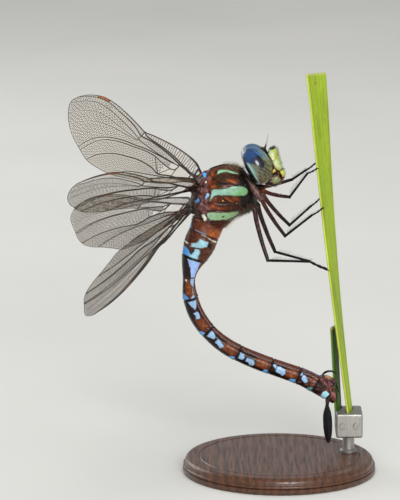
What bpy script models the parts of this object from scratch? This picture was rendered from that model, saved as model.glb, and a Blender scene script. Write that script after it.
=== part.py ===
"""A female mosaic darner dragonfly (Aeshna) laying eggs, life size, on a cut leaf and a stand.

Lengths are in millimetres and angles in degrees; add_solid() turns millimetres into metres.
+Z is up, the insect faces +X and its own mirror plane is the plane Y = 0, with its left side
at +Y. The origin is the middle of the underside of the display stand's base.
"""
import math

import bmesh
import bpy
from mathutils import Matrix, Vector

MM = 0.001                      # metres in a millimetre
GAP = 0.25                      # clearance left between pieces that touch

# Body, from the head down to the tip of the abdomen.
HEAD_CENTRE = (-4.40, 58.38)    # X and Z of the middle of the eyes
HEAD_PITCH = 30.7               # the face looks this far above the horizontal
EYE_HALF = (2.67, 2.80, 3.72)   # half sizes: forwards, sideways, upwards
EYE_OFFSET = 1.70               # from the mirror plane to an eye's middle
EYE_BACK = -1.60                # the flat back of an eye, behind its middle
NECK_START = (-6.15, 56.45)
NECK_END = (-6.05, 55.75)

# Thorax: X, Z, depth, width and the tilt of the back, from the front to the waist.
THORAX = (
    (-6.10, 55.70, 3.6, 3.6, 123),
    (-6.30, 55.35, 6.3, 5.6, 127),
    (-7.50, 54.40, 9.6, 7.2, 130),
    (-9.15, 53.50, 10.6, 7.9, 132),
    (-10.85, 52.70, 10.6, 7.9, 135),
    (-12.20, 51.10, 9.7, 7.6, 141),
    (-13.10, 49.20, 8.3, 6.6, 148),
    (-13.45, 47.90, 7.0, 5.4, 155),
)

# Abdomen: length, bend, then depth and width at the front, middle and back of each segment.
ABDOMEN_START = (-13.35, 47.40)
ABDOMEN_HEADING = -106
ABDOMEN = (
    (2.06, -6, (6.1, 5.9, 5.7), (4.8, 4.9, 4.8)),
    (5.03, 0, (5.7, 5.8, 4.7), (4.8, 5.0, 4.2)),
    (7.75, 35, (4.6, 2.3, 2.8), (4.1, 2.4, 2.8)),
    (6.90, 29, (2.7, 2.9, 2.9), (2.8, 3.0, 3.0)),
    (7.00, 22, (2.8, 3.0, 3.1), (2.9, 3.1, 3.2)),
    (6.66, 7, (3.0, 3.1, 3.1), (3.1, 3.2, 3.2)),
    (5.41, -1, (3.0, 3.1, 3.2), (3.1, 3.2, 3.2)),
    (3.62, -13, (3.2, 3.3, 3.4), (3.1, 3.2, 3.2)),
    (3.26, -13, (3.3, 3.0, 2.3), (3.0, 2.9, 2.3)),
    (1.70, 12, (2.0, 1.8, 1.3), (2.0, 1.9, 1.4)),
)

# Egg-laying tools under the tip, and the two leaf-like claspers (cerci) above it.
OVIPOSITOR_ROOT = (7.95, 18.35)
OVIPOSITOR_LENGTH = 3.1
SHEATH = ((8.80, 17.97), (10.40, 17.07))
STYLUS_END = (11.10, 15.20)
CERCUS_ROOT = (8.95, 13.10)
CERCUS_LENGTH = 7.45
CERCUS_WIDTH = 1.70

# Wings: side (+1 left), X and Z of the root, then the angles and shape changes along the wing.
FOREWING_LENGTH = 47.0
HINDWING_LENGTH = 45.5
WING_THICKNESS = 0.50
WING_ROOT_Y = 2.2
WINGS = {
    "wing_fore_left": dict(side=1, root=(-14.75, 55.95), sweep=28.9, rise=12.6, pitch=47.5,
                           arch=0.027, washout=4.5, kind="fore"),
    "wing_fore_right": dict(side=-1, root=(-15.40, 54.70), sweep=22.8, rise=11.9, pitch=36.4,
                            arch=-0.003, washout=1.1, kind="fore"),
    "wing_hind_left": dict(side=1, root=(-16.75, 50.20), sweep=25.8, rise=-6.3, pitch=38.7,
                           arch=0.006, washout=0.9, kind="hind"),
    "wing_hind_right": dict(side=-1, root=(-16.80, 50.20), sweep=16.4, rise=-11.4, pitch=25.0,
                            arch=0.004, washout=3.5, kind="hind"),
}
# Fractions of the wing's length: station, how far the front edge stands forward, and the chord.
WING_OUTLINE = {
    "fore": ((-0.04, -0.004, 0.036), (0.0, 0.0, 0.038), (0.10, 0.020, 0.105), (0.25, 0.023, 0.180),
             (0.50, 0.012, 0.222), (0.70, 0.010, 0.237), (0.85, -0.002, 0.203),
             (0.93, -0.023, 0.142), (0.975, -0.046, 0.082), (0.995, -0.070, 0.030)),
    "hind": ((-0.04, -0.004, 0.075), (0.0, 0.0, 0.095), (0.10, 0.018, 0.240), (0.25, 0.018, 0.305),
             (0.50, 0.012, 0.297), (0.70, 0.010, 0.260), (0.85, -0.004, 0.200),
             (0.93, -0.026, 0.142), (0.975, -0.052, 0.080), (0.995, -0.080, 0.030)),
}

# Legs: hip inside the thorax, hip, knee, ankle and toe as (X, distance from the mirror plane, Z)
# for the right leg and the left leg, and the radii of the femur, tibia and tarsus.
LEGS = {
    "fore": dict(radii=(0.50, 0.30, 0.25),
                 right=((-5.8, 1.3, 53.7), (-3.15, 2.3, 53.65), (1.55, 6.0, 53.2),
                        (4.90, 3.4, 57.2), (6.65, 0.9, 57.6)),
                 left=((-5.6, 1.3, 53.7), (-3.0, 2.3, 53.65), (2.30, 6.0, 54.4),
                       (5.00, 3.6, 56.7), (6.45, 2.1, 58.1))),
    "mid": dict(radii=(0.55, 0.32, 0.25),
                right=((-6.6, 1.7, 52.2), (-3.6, 2.8, 52.3), (0.75, 6.2, 46.0),
                       (5.80, 3.4, 49.4), (7.75, 0.9, 50.2)),
                left=((-6.4, 1.7, 52.1), (-3.2, 2.8, 52.1), (1.90, 6.2, 45.7),
                      (5.90, 3.6, 49.9), (7.40, 2.2, 51.5))),
    "hind": dict(radii=(0.60, 0.32, 0.25),
                 right=((-7.4, 1.6, 51.6), (-4.9, 2.8, 50.6), (-2.40, 6.0, 41.4),
                        (5.35, 3.0, 40.6), (8.80, 0.9, 38.6)),
                 left=((-7.2, 1.6, 51.5), (-4.2, 2.8, 50.2), (-0.80, 6.0, 40.7),
                       (5.75, 3.2, 39.4), (8.70, 2.1, 38.3))),
}

ANTENNA = ((-2.75, 1.00, 61.60), (-2.50, 1.25, 62.6), (-2.25, 1.7, 63.9))

# Leaf that the feet hold, and the narrower one that the eggs go into.
LEAF_THICKNESS = 0.60
BLADE = dict(width=4.6, low=8.0, high=75.0, edge=(12.95, -0.1285, -0.30), edge_y=-0.05,
             face=(78.0, -0.25, -0.0063))
LEAF = dict(width=3.2, low=8.0, high=27.0, edge=(10.62, -0.060, 0.0), edge_y=1.75,
            face=(68.0, 0.0, 0.0))
EDGE_DATUM = 9.8                # height at which the two edge and face formulas start
EDGE_SPAN = 58.6                # height over which the blade's bow runs

# Display stand.
BASE_RADIUS = 18.0
BASE_HEIGHT = 3.0
BASE_BEVEL = 0.6
ROD_RADIUS = 1.1
CLAMP = dict(low=(10.6, -1.3, 6.6), high=(15.6, 5.9, 11.2))


# ---------------------------------------------------------------- helpers

def material(name, colour, roughness, metallic=0.0):
    """A Principled material with one colour, roughness and metallic value."""
    made = bpy.data.materials.new(name)
    made.use_nodes = True
    shader = made.node_tree.nodes["Principled BSDF"]
    shader.inputs["Base Color"].default_value = (*colour, 1.0)
    shader.inputs["Roughness"].default_value = roughness
    shader.inputs["Metallic"].default_value = metallic
    made.diffuse_color = (*colour, 1.0)
    return made


def add_solid(name, points, faces, finish, smooth=40.0):
    """A closed solid of points in millimetres, with its faces turned outwards."""
    mesh = bpy.data.meshes.new(name)
    mesh.from_pydata([Vector(point) * MM for point in points], [], faces)
    work = bmesh.new()
    work.from_mesh(mesh)
    bmesh.ops.recalc_face_normals(work, faces=work.faces)
    work.to_mesh(mesh)
    work.free()
    mesh.materials.append(finish)
    mesh.shade_smooth()
    mesh.set_sharp_from_angle(angle=math.radians(smooth))
    solid = bpy.data.objects.new(name, mesh)
    bpy.context.scene.collection.objects.link(solid)
    return solid


def add_loft(name, rings, finish, smooth=40.0):
    """A solid through closed rings of equal point counts, with a flat cap at each end."""
    count = len(rings[0])
    points = [point for ring in rings for point in ring]
    faces = [list(range(count)), list(range(len(points) - count, len(points)))]
    for level in range(len(rings) - 1):
        low = level * count
        for step in range(count):
            after = (step + 1) % count
            faces.append((low + step, low + after, low + count + after, low + count + step))
    return add_solid(name, points, faces, finish, smooth)


def through(stations, t):
    """The values at t on a smooth curve through stations of (t, value, value, ...)."""
    last = len(stations) - 1
    start = max(i for i in range(last) if i == 0 or stations[i][0] <= t)
    before, a, b, after = (stations[min(max(start + step, 0), last)] for step in (-1, 0, 1, 2))
    span = b[0] - a[0]
    x = min(max((t - a[0]) / span, 0.0), 1.0)
    values = []
    for k in range(1, len(a)):
        slope_a = (b[k] - before[k]) / (b[0] - before[0]) * span
        slope_b = (after[k] - a[k]) / (after[0] - a[0]) * span
        values.append(a[k] * (2 * x**3 - 3 * x**2 + 1) + slope_a * (x**3 - 2 * x**2 + x)
                      + b[k] * (3 * x**2 - 2 * x**3) + slope_b * (x**3 - x**2))
    return values


def numbered(stations):
    """The stations with their own number in front of each, for through()."""
    return [(index, *station) for index, station in enumerate(stations)]


def oval(centre, across, up, half_width, half_height, count, power=2.0, top=0.0, bottom=0.0):
    """A superellipse ring; top and bottom narrow its upper and its lower half."""
    ring = []
    for step in range(count):
        angle = 2 * math.pi * step / count
        c, s = math.cos(angle), math.sin(angle)
        narrow = 1 - (top * s * s if s > 0 else bottom * s * s)
        x = math.copysign(abs(c) ** (2 / power), c) * half_width * narrow
        y = math.copysign(abs(s) ** (2 / power), s) * half_height
        ring.append(centre + across * x + up * y)
    return ring


def flat(direction):
    """The unit vector at this angle in the mirror plane, from +X towards +Z."""
    angle = math.radians(direction)
    return Vector((math.cos(angle), 0, math.sin(angle)))


def add_limb(name, path, radii, finish, sides=8):
    """A round tapering limb along straight runs, closed by a short dome at both ends."""
    path = [Vector(point) for point in path]
    headings = [(b - a).normalized() for a, b in zip(path, path[1:])]
    dome = 0.6
    rings = []
    for index, (point, radius) in enumerate(zip(path, radii)):
        before = headings[max(index - 1, 0)]
        after = headings[min(index, len(headings) - 1)]
        heading = (before + after).normalized()
        across = heading.cross(Vector((0.2, 1.0, 0.1))).normalized()
        up = heading.cross(across)
        if index == 0:
            rings.append(oval(point - heading * radius * 0.5, across, up, radius * dome,
                              radius * dome, sides))
        rings.append(oval(point, across, up, radius, radius, sides))
        if index == len(path) - 1:
            rings.append(oval(point + heading * radius * 0.5, across, up, radius * dome,
                              radius * dome, sides))
    return add_loft(name, rings, finish, 60.0)


def as_cutter(solid):
    """Keeps a solid only as a cutting shape."""
    solid.hide_render = True
    solid.display_type = "WIRE"
    return solid


def trim(solid, cutters):
    """Cuts each cutter's space out of a solid."""
    for cutter in cutters:
        cut = solid.modifiers.new("trim", "BOOLEAN")
        cut.operation = "DIFFERENCE"
        cut.solver = "EXACT"
        cut.object = cutter


# ---------------------------------------------------------------- body

def thorax_rings(grow=0.0):
    """The thorax as rings that tilt with its back, made larger all round by grow."""
    stations = numbered(THORAX)
    rings = []
    steps = 14
    for step in range(steps + 1):
        t = step / steps * (len(THORAX) - 1)
        x, z, depth, width, tilt = through(stations, t)
        centre = Vector((x, 0, z))
        if step == 0:
            centre += flat(tilt - 90) * grow
        if step == steps:
            centre -= flat(tilt - 90) * grow
        rings.append(oval(centre, Vector((0, 1, 0)), flat(tilt), width / 2 + grow,
                          depth / 2 + grow, 24, 2.3, 0.16, 0.22))
    return rings


def add_neck(finish, cutters):
    """The short prothorax between the head and the thorax."""
    start = Vector((NECK_START[0], 0, NECK_START[1]))
    end = Vector((NECK_END[0] - 1.6, 0, NECK_END[1] - 0.9))
    run = end - start
    rings = []
    for share, width, depth in ((0, 2.2, 1.9), (0.12, 3.2, 2.7), (0.45, 3.9, 3.4), (1, 3.9, 3.4)):
        rings.append(oval(start + run * share, Vector((0, 1, 0)), flat(123), width / 2,
                          depth / 2, 20, 2.2))
    neck = add_loft("prothorax", rings, finish)
    trim(neck, cutters)


def add_abdomen(finish, cutters):
    """Ten segments, each a gently bent tube; the first is cut to meet the thorax."""
    place = Vector((ABDOMEN_START[0], 0, ABDOMEN_START[1]))
    heading = ABDOMEN_HEADING
    steps = 5
    for number, (length, bend, depths, widths) in enumerate(ABDOMEN, 1):
        profile = list(zip((0.0, 0.5, 1.0), depths, widths))
        share_of_gap = GAP / length
        rings = []
        for step in range(steps + 1):
            share = step / steps * (1 - share_of_gap)
            turn = heading + bend * share
            middle = place + flat(heading + bend * share / 2) * length * share
            depth, width = through(profile, share)
            rings.append(oval(middle, Vector((0, 1, 0)), flat(turn - 90), width / 2, depth / 2,
                              16, 2.2, 0.10, 0.16))
        segment = add_loft(f"abdomen_{number:02d}", rings, finish)
        if number == 1:
            trim(segment, cutters)
        place += flat(heading + bend / 2) * length
        heading += bend


def add_tail(shell, dark):
    """The ovipositor, its sheath with the styli, and the two cerci."""
    root = Vector((OVIPOSITOR_ROOT[0], 0, OVIPOSITOR_ROOT[1]))
    path = [root]
    heading = 52.0
    steps = 7
    for step in range(steps):
        path.append(path[-1] + flat(heading) * OVIPOSITOR_LENGTH / steps)
        heading -= 15.0
    radii = [0.30 - 0.05 * step / steps for step in range(steps + 1)]
    add_limb("ovipositor", path, radii, dark, 8)

    low, high = (Vector((x, 0, z)) for x, z in SHEATH)
    end = Vector((STYLUS_END[0], 0, STYLUS_END[1]))
    sheath = [low, low.lerp(high, 0.2), low.lerp(high, 0.55), high, high.lerp(end, 0.35), end]
    add_limb("ovipositor_sheath", sheath, (0.30, 0.55, 0.62, 0.45, 0.28, 0.25), shell, 10)

    for side, name in ((1, "cercus_left"), (-1, "cercus_right")):
        rings = []
        for share, wide in ((0, 0.30), (0.10, 0.42), (0.30, 0.92), (0.5, 1.0), (0.72, 0.92),
                            (0.88, 0.66), (0.97, 0.34), (1.0, 0.16)):
            down = Vector((0.22 * share, 0, -CERCUS_LENGTH * share))
            root = Vector((CERCUS_ROOT[0], side * (0.72 + 0.35 * share), CERCUS_ROOT[1]))
            rings.append(oval(root + down, Vector((1, 0.25 * side, 0)).normalized(),
                              Vector((-0.25 * side, 1, 0)).normalized(), wide * CERCUS_WIDTH / 2,
                              0.28, 10))
        add_loft(name, rings, dark)


# ---------------------------------------------------------------- head

def head_point(forward, sideways, upward):
    """A point of the head, whose axes are pitched up from the horizontal."""
    centre = Vector((HEAD_CENTRE[0], 0, HEAD_CENTRE[1]))
    return (centre + flat(HEAD_PITCH) * forward + Vector((0, 1, 0)) * sideways
            + flat(HEAD_PITCH + 90) * upward)


def capsule_rings(grow=0.0):
    """The domed back of the head, and the core between the eyes up to the brow."""
    stations = ((-2.45, -0.3, 1.5, 1.7), (-2.2, -0.1, 2.3, 3.2), (EYE_BACK - GAP, 0, 2.95, 3.9),
                (EYE_BACK - GAP, -0.6, 2.4, 1.1), (0.0, -0.4, 2.2, 1.1), (1.6, 0.6, 1.4, 1.0),
                (2.5, 1.15, 0.8, 0.85), (2.9, 1.2, 0.4, 0.5))
    rings = []
    for forward, middle, half_up, half_side in stations:
        rings.append(oval(head_point(forward, 0, middle), Vector((0, 1, 0)),
                          flat(HEAD_PITCH + 90), half_side + grow, half_up + grow, 24))
    if grow:
        rings[0] = [point - flat(HEAD_PITCH) * grow for point in rings[0]]
        rings[-1] = [point + flat(HEAD_PITCH) * grow for point in rings[-1]]
    return rings


def face_rings(stations, grow=0.0):
    """Level slices of the face: height, back, front and half width of each."""
    rings = []
    for index, (height, back, front, half_side) in enumerate(stations):
        end = -grow if index == len(stations) - 1 else grow if index == 0 else 0.0
        rings.append(oval(head_point((back + front) / 2, 0, height + end), Vector((0, 1, 0)),
                          flat(HEAD_PITCH), half_side + grow, (front - back) / 2 + grow,
                          20, 2.6))
    return rings


FACE = ((1.25, 3.35, 4.05, 0.75), (1.05, 3.20, 4.45, 1.35), (0.55, 2.60, 4.72, 1.75),
        (-0.20, 0.9, 4.62, 2.0), (-0.85, 0.5, 4.35, 2.15), (-2.0, 0.5, 4.10, 2.3),
        (-2.95, 0.5, 3.85, 2.1))
LABRUM = ((-3.20, 2.75, 3.85, 1.75), (-3.9, 2.7, 3.85, 1.80), (-4.6, 2.5, 3.45, 1.35),
          (-4.95, 2.4, 3.0, 0.8))
MOUTH = ((-3.20, -0.5, 2.40, 1.6), (-3.9, -0.6, 2.45, 1.95), (-4.7, -0.1, 2.30, 1.8),
         (-5.35, 0.5, 2.0, 1.2))


def add_head(shell, pale, eye_finish, dark):
    """The head capsule, eyes, face, lips and antennae."""
    add_loft("head", capsule_rings(), dark)
    core = as_cutter(add_loft("cut_capsule", capsule_rings(GAP), dark))
    face = add_loft("face", face_rings(FACE), pale)
    trim(face, [core])
    face_room = as_cutter(add_loft("cut_face", face_rings(FACE, GAP), pale))
    add_loft("labrum", face_rings(LABRUM), pale)
    mouth = add_loft("mouthparts", face_rings(MOUTH), shell)
    trim(mouth, [core])
    mouth_room = as_cutter(add_loft("cut_mouth", face_rings(MOUTH, GAP), shell))
    turn = Matrix.Rotation(-math.radians(HEAD_PITCH), 4, "Y")
    for side, name in ((1, "eye_left"), (-1, "eye_right")):
        bpy.ops.mesh.primitive_uv_sphere_add(segments=24, ring_count=12, radius=1.0)
        eye = bpy.context.object
        eye.name = eye.data.name = name
        eye.data.materials.append(eye_finish)
        eye.data.shade_smooth()
        across, wide, tall = (half * MM for half in EYE_HALF)
        eye.data.transform(Matrix.Diagonal((across, wide, tall, 1)))
        work = bmesh.new()
        work.from_mesh(eye.data)
        inner = -side * (EYE_OFFSET - GAP / 2) * MM
        for point, away in (((0, inner, 0), (0, -side, 0)), ((EYE_BACK * MM, 0, 0), (-1, 0, 0))):
            cut = bmesh.ops.bisect_plane(work, geom=[*work.verts, *work.edges, *work.faces],
                                         plane_co=point, plane_no=away, clear_outer=True)
            rim = [item for item in cut["geom_cut"] if isinstance(item, bmesh.types.BMEdge)]
            bmesh.ops.contextual_create(work, geom=rim)
        bmesh.ops.recalc_face_normals(work, faces=work.faces)
        work.to_mesh(eye.data)
        work.free()
        eye.matrix_world = (Matrix.Translation(head_point(0, side * EYE_OFFSET, 0) * MM) @ turn)
        trim(eye, [core, face_room, mouth_room])
    for side, name in ((1, "antenna_left"), (-1, "antenna_right")):
        path = [(x, side * y, z) for x, y, z in ANTENNA]
        add_limb(name, path, (0.30, 0.25, 0.25), dark, 8)


# ---------------------------------------------------------------- wings and legs

def wing_frame(side, root, sweep, rise, pitch):
    """The wing's root and its axes: outwards, towards the rear edge, and up from the back."""
    sweep, rise, pitch = (math.radians(angle) for angle in (sweep, rise, pitch))
    out = Vector((-math.sin(sweep) * math.cos(rise), side * math.cos(sweep) * math.cos(rise),
                  math.sin(rise)))
    level = Vector((-math.cos(sweep), -side * math.sin(sweep), 0))
    down = out.cross(level) * side
    rear = level * math.cos(pitch) - down * math.sin(pitch)
    return Vector((root[0], side * WING_ROOT_Y, root[1])), out, rear, out.cross(rear) * side


def add_wing(name, finish, cutters, side, root, sweep, rise, pitch, arch, washout, kind):
    """A wing plate that follows its outline, its arch and its twist."""
    length = FOREWING_LENGTH if kind == "fore" else HINDWING_LENGTH
    start, out, rear, up = wing_frame(side, root, sweep, rise, pitch)
    outline = WING_OUTLINE[kind]
    spans, chords = 18, 4
    first, last = outline[0][0], outline[-1][0]
    sheets = []
    for face in (-0.5, 0.5):
        sheet = []
        for i in range(spans + 1):
            ease = math.sin(0.5 * math.pi * i / spans)
            u = first + (last - first) * (0.45 * i / spans + 0.55 * ease)
            lead, chord = through(outline, u)
            for j in range(chords + 1):
                v = chord * j / chords - lead
                twist = math.radians(-washout) * u
                sheet.append(start + out * u * length + rear * v * math.cos(twist) * length
                             + up * (v * math.sin(twist) + arch * u * u) * length
                             + up * face * WING_THICKNESS)
        sheets.append(sheet)
    row = chords + 1
    half = len(sheets[0])
    faces = []
    for i in range(spans):
        for j in range(chords):
            a = i * row + j
            faces.append((a, a + 1, a + row + 1, a + row))
            faces.append(tuple(half + corner for corner in (a, a + row, a + row + 1, a + 1)))
    rim = ([i * row for i in range(spans + 1)] + [spans * row + j for j in range(1, row)]
           + [i * row + chords for i in range(spans - 1, -1, -1)]
           + list(range(chords - 1, 0, -1)))
    for a, b in zip(rim, rim[1:] + rim[:1]):
        faces.append((a, b, half + b, half + a))
    wing = add_solid(name, sheets[0] + sheets[1], faces, finish, 30.0)
    trim(wing, cutters)


def shorten(start, end, by_start, by_end):
    """A straight run pulled in at each end."""
    start, end = Vector(start), Vector(end)
    along = (end - start).normalized()
    return start + along * by_start, end - along * by_end


def add_leg(name, joints, radii, shell, dark, cutters):
    """Coxa and femur in one piece, then the tibia and the tarsus."""
    inner, hip, knee, ankle, toe = joints
    thick, shin, foot = radii
    hip_run = Vector(hip).lerp(Vector(knee), 0.28)
    femur = add_limb(f"leg_{name}_femur", (inner, hip, hip_run, shorten(hip, knee, 0, thick * 0.5)[1]),
                     (thick * 1.35, thick * 1.1, thick, thick * 0.72), shell, 10)
    trim(femur, cutters)
    add_limb(f"leg_{name}_tibia", shorten(knee, ankle, thick * 0.72 + GAP + 0.1, shin * 0.5),
             (shin, shin * 0.8), dark)
    add_limb(f"leg_{name}_tarsus", shorten(ankle, toe, shin * 0.8 + GAP, foot * 0.5),
             (foot, foot), dark)


# ---------------------------------------------------------------- leaf and stand

def strap_rings(width, low, high, edge, edge_y, face, grow=0.0):
    """A flat leaf whose near edge leans and whose face turns as it rises."""
    rings = []
    steps = max(2, round((high - low) / 6.5))
    for step in range(steps + 1):
        z = low + (high - low) * step / steps
        if grow and step == 0:
            z -= grow
        t = z - EDGE_DATUM
        bow = edge[2] * math.sin(math.pi * min(max(t / EDGE_SPAN, 0), 1))
        near = Vector((edge[0] + edge[1] * t + bow, edge_y, z))
        turn = math.radians(face[0] + face[1] * t + face[2] * t * t)
        along = Vector((math.cos(turn), math.sin(turn), 0))
        away = Vector((-along.y, along.x, 0))
        middle = near + along * width / 2
        rings.append(oval(middle, along, away, width / 2 + grow, LEAF_THICKNESS / 2 + grow, 10,
                          3.0))
    return rings


def add_perch(leaf_finish):
    """The two cut leaves, and the room that the clamp leaves for them."""
    add_loft("perch_blade", strap_rings(**BLADE), leaf_finish)
    add_loft("perch_leaf", strap_rings(**LEAF), leaf_finish)
    return [as_cutter(add_loft(f"cut_{name}", strap_rings(**leaf, grow=GAP), leaf_finish))
            for name, leaf in (("blade", BLADE), ("leaf", LEAF))]


def add_box(name, low, high, bevel, finish):
    """A box between two corners, with its edges rounded over."""
    points = [(x, y, z) for z in (low[2], high[2]) for x, y in
              ((low[0], low[1]), (high[0], low[1]), (high[0], high[1]), (low[0], high[1]))]
    faces = [(0, 1, 2, 3), (4, 5, 6, 7), (0, 1, 5, 4), (1, 2, 6, 5), (2, 3, 7, 6), (3, 0, 4, 7)]
    box = add_solid(name, points, faces, finish)
    edge = box.modifiers.new("edge", "BEVEL")
    edge.width = bevel * MM
    edge.segments = 2
    return box


def add_stand(wood, metal, leaf_room):
    """A round base, a short rod and the clamp that grips both leaves."""
    across, up = Vector((1, 0, 0)), Vector((0, 1, 0))
    rings = [oval(Vector((0, 0, height)), across, up, radius, radius, 56) for height, radius in
             ((0, BASE_RADIUS), (BASE_HEIGHT - BASE_BEVEL, BASE_RADIUS),
              (BASE_HEIGHT - BASE_BEVEL * 0.3, BASE_RADIUS - BASE_BEVEL * 0.3),
              (BASE_HEIGHT, BASE_RADIUS - BASE_BEVEL))]
    add_loft("stand_base", rings, wood)
    middle = [(CLAMP["low"][k] + CLAMP["high"][k]) / 2 for k in range(2)]
    heights = (BASE_HEIGHT + GAP, CLAMP["low"][2] - GAP)
    rod = [oval(Vector((*middle, height)), across, up, ROD_RADIUS, ROD_RADIUS, 16)
           for height in heights]
    add_loft("stand_rod", rod, metal)
    clamp = add_box("stand_clamp", CLAMP["low"], CLAMP["high"], 0.35, metal)
    trim(clamp, leaf_room)


# ---------------------------------------------------------------- the whole model

def main():
    """Builds every piece in an empty scene."""
    for old in list(bpy.data.objects):
        bpy.data.objects.remove(old, do_unlink=True)
    brown = material("chestnut cuticle", (0.20, 0.07, 0.035), 0.35)
    black = material("black cuticle", (0.02, 0.016, 0.015), 0.30)
    pale = material("pale green cuticle", (0.55, 0.68, 0.40), 0.35)
    blue = material("compound eye", (0.03, 0.10, 0.28), 0.15)
    membrane = material("wing membrane", (0.62, 0.55, 0.40), 0.15)
    green = material("leaf", (0.30, 0.50, 0.08), 0.45)
    wood = material("dark wood", (0.10, 0.055, 0.03), 0.40)
    steel = material("brushed steel", (0.60, 0.58, 0.55), 0.35, 1.0)

    add_loft("thorax", thorax_rings(), brown)
    thorax_room = as_cutter(add_loft("cut_thorax", thorax_rings(GAP), brown))
    add_neck(black, [thorax_room])
    add_abdomen(brown, [thorax_room])
    add_tail(brown, black)
    add_head(brown, pale, blue, black)
    for name, settings in WINGS.items():
        add_wing(name, membrane, [thorax_room], **settings)
    for pair, leg in LEGS.items():
        for side, sign in (("left", 1), ("right", -1)):
            joints = [(x, sign * y, z) for x, y, z in leg[side]]
            add_leg(f"{pair}_{side}", joints, leg["radii"], brown, black, [thorax_room])
    add_stand(wood, steel, add_perch(green))


main()
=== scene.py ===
"""The looks of a female mosaic darner dragonfly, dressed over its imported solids.

Lengths are in millimetres and angles in degrees until make_piece() turns them into metres.
The axes are the solids' own: +X the way the insect faces, +Y its left, +Z up.
"""

import math

import bpy
import numpy as np
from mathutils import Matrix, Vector, geometry


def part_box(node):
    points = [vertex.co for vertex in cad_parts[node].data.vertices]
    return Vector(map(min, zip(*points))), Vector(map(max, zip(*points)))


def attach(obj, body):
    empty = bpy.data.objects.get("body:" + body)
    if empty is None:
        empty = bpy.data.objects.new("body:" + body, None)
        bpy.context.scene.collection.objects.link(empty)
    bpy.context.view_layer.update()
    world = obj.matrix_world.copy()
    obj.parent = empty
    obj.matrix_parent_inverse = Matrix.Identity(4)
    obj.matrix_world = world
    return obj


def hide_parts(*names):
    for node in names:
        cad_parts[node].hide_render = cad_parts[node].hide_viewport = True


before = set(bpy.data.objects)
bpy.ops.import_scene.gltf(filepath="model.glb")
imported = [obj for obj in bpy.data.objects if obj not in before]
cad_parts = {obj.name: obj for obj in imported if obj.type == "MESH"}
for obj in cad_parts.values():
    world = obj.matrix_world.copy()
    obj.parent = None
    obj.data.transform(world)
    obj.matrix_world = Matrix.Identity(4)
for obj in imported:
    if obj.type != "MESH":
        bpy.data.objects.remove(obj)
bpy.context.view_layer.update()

MM = 0.001
# How far a marking's height drops as it rounds the side.
FALL = math.tan(math.radians(11))
X_AXIS, Y_AXIS, Z_AXIS = np.eye(3)


# ---------------------------- sizes shared with the solids

HEAD_CENTRE = (-4.4, 58.38)
HEAD_PITCH = 30.7
EYE_HALF = (2.67, 2.8, 3.72)
EYE_OFFSET = 1.7
EYE_BACK = -1.6
# Rings of the thorax: X, height, depth, width, tilt.
THORAX = (
    (-6.1, 55.7, 3.6, 3.6, 123), (-6.3, 55.35, 6.3, 5.6, 127), (-7.5, 54.4, 9.6, 7.2, 130),
    (-9.15, 53.5, 10.6, 7.9, 132), (-10.85, 52.7, 10.6, 7.9, 135), (-12.2, 51.1, 9.7, 7.6, 141),
    (-13.1, 49.2, 8.3, 6.6, 148), (-13.45, 47.9, 7.0, 5.4, 155))
ABDOMEN_START = (-13.35, 47.4)
ABDOMEN_HEADING = -106
# Segments of the abdomen: length, bend, and depths and widths at front, middle and rear.
ABDOMEN = (
    (2.06, -6, (6.1, 5.9, 5.7), (4.8, 4.9, 4.8)), (5.03, 0, (5.7, 5.8, 4.7), (4.8, 5.0, 4.2)),
    (7.75, 35, (4.6, 2.3, 2.8), (4.1, 2.4, 2.8)), (6.9, 29, (2.7, 2.9, 2.9), (2.8, 3.0, 3.0)),
    (7.0, 22, (2.8, 3.0, 3.1), (2.9, 3.1, 3.2)), (6.66, 7, (3.0, 3.1, 3.1), (3.1, 3.2, 3.2)),
    (5.41, -1, (3.0, 3.1, 3.2), (3.1, 3.2, 3.2)), (3.62, -13, (3.2, 3.3, 3.4), (3.1, 3.2, 3.2)),
    (3.26, -13, (3.3, 3.0, 2.3), (3.0, 2.9, 2.3)), (1.7, 12, (2.0, 1.8, 1.3), (2.0, 1.9, 1.4)))
OVIPOSITOR_ROOT = (7.95, 18.35)
OVIPOSITOR_LENGTH = 3.1
SHEATH = ((8.8, 17.97), (10.4, 17.07))
STYLUS_END = (11.1, 15.2)
CERCUS_ROOT = (8.95, 13.1)
CERCUS_LENGTH = 7.45
CERCUS_WIDTH = 1.7
WING_ROOT_Y = 2.2
WING_LENGTH = {"fore": 47.0, "hind": 45.5}
WINGS = {
    "wing_fore_left": dict(
        side=1, root=(-14.75, 55.95), sweep=28.9, rise=12.6, pitch=47.5, arch=0.027, washout=4.5,
        kind="fore"),
    "wing_fore_right": dict(
        side=-1, root=(-15.4, 54.7), sweep=22.8, rise=11.9, pitch=36.4, arch=-0.003, washout=1.1,
        kind="fore"),
    "wing_hind_left": dict(
        side=1, root=(-16.75, 50.2), sweep=25.8, rise=-6.3, pitch=38.7, arch=0.006, washout=0.9,
        kind="hind"),
    "wing_hind_right": dict(
        side=-1, root=(-16.8, 50.2), sweep=16.4, rise=-11.4, pitch=25.0, arch=0.004, washout=3.5,
        kind="hind"),
}
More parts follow.
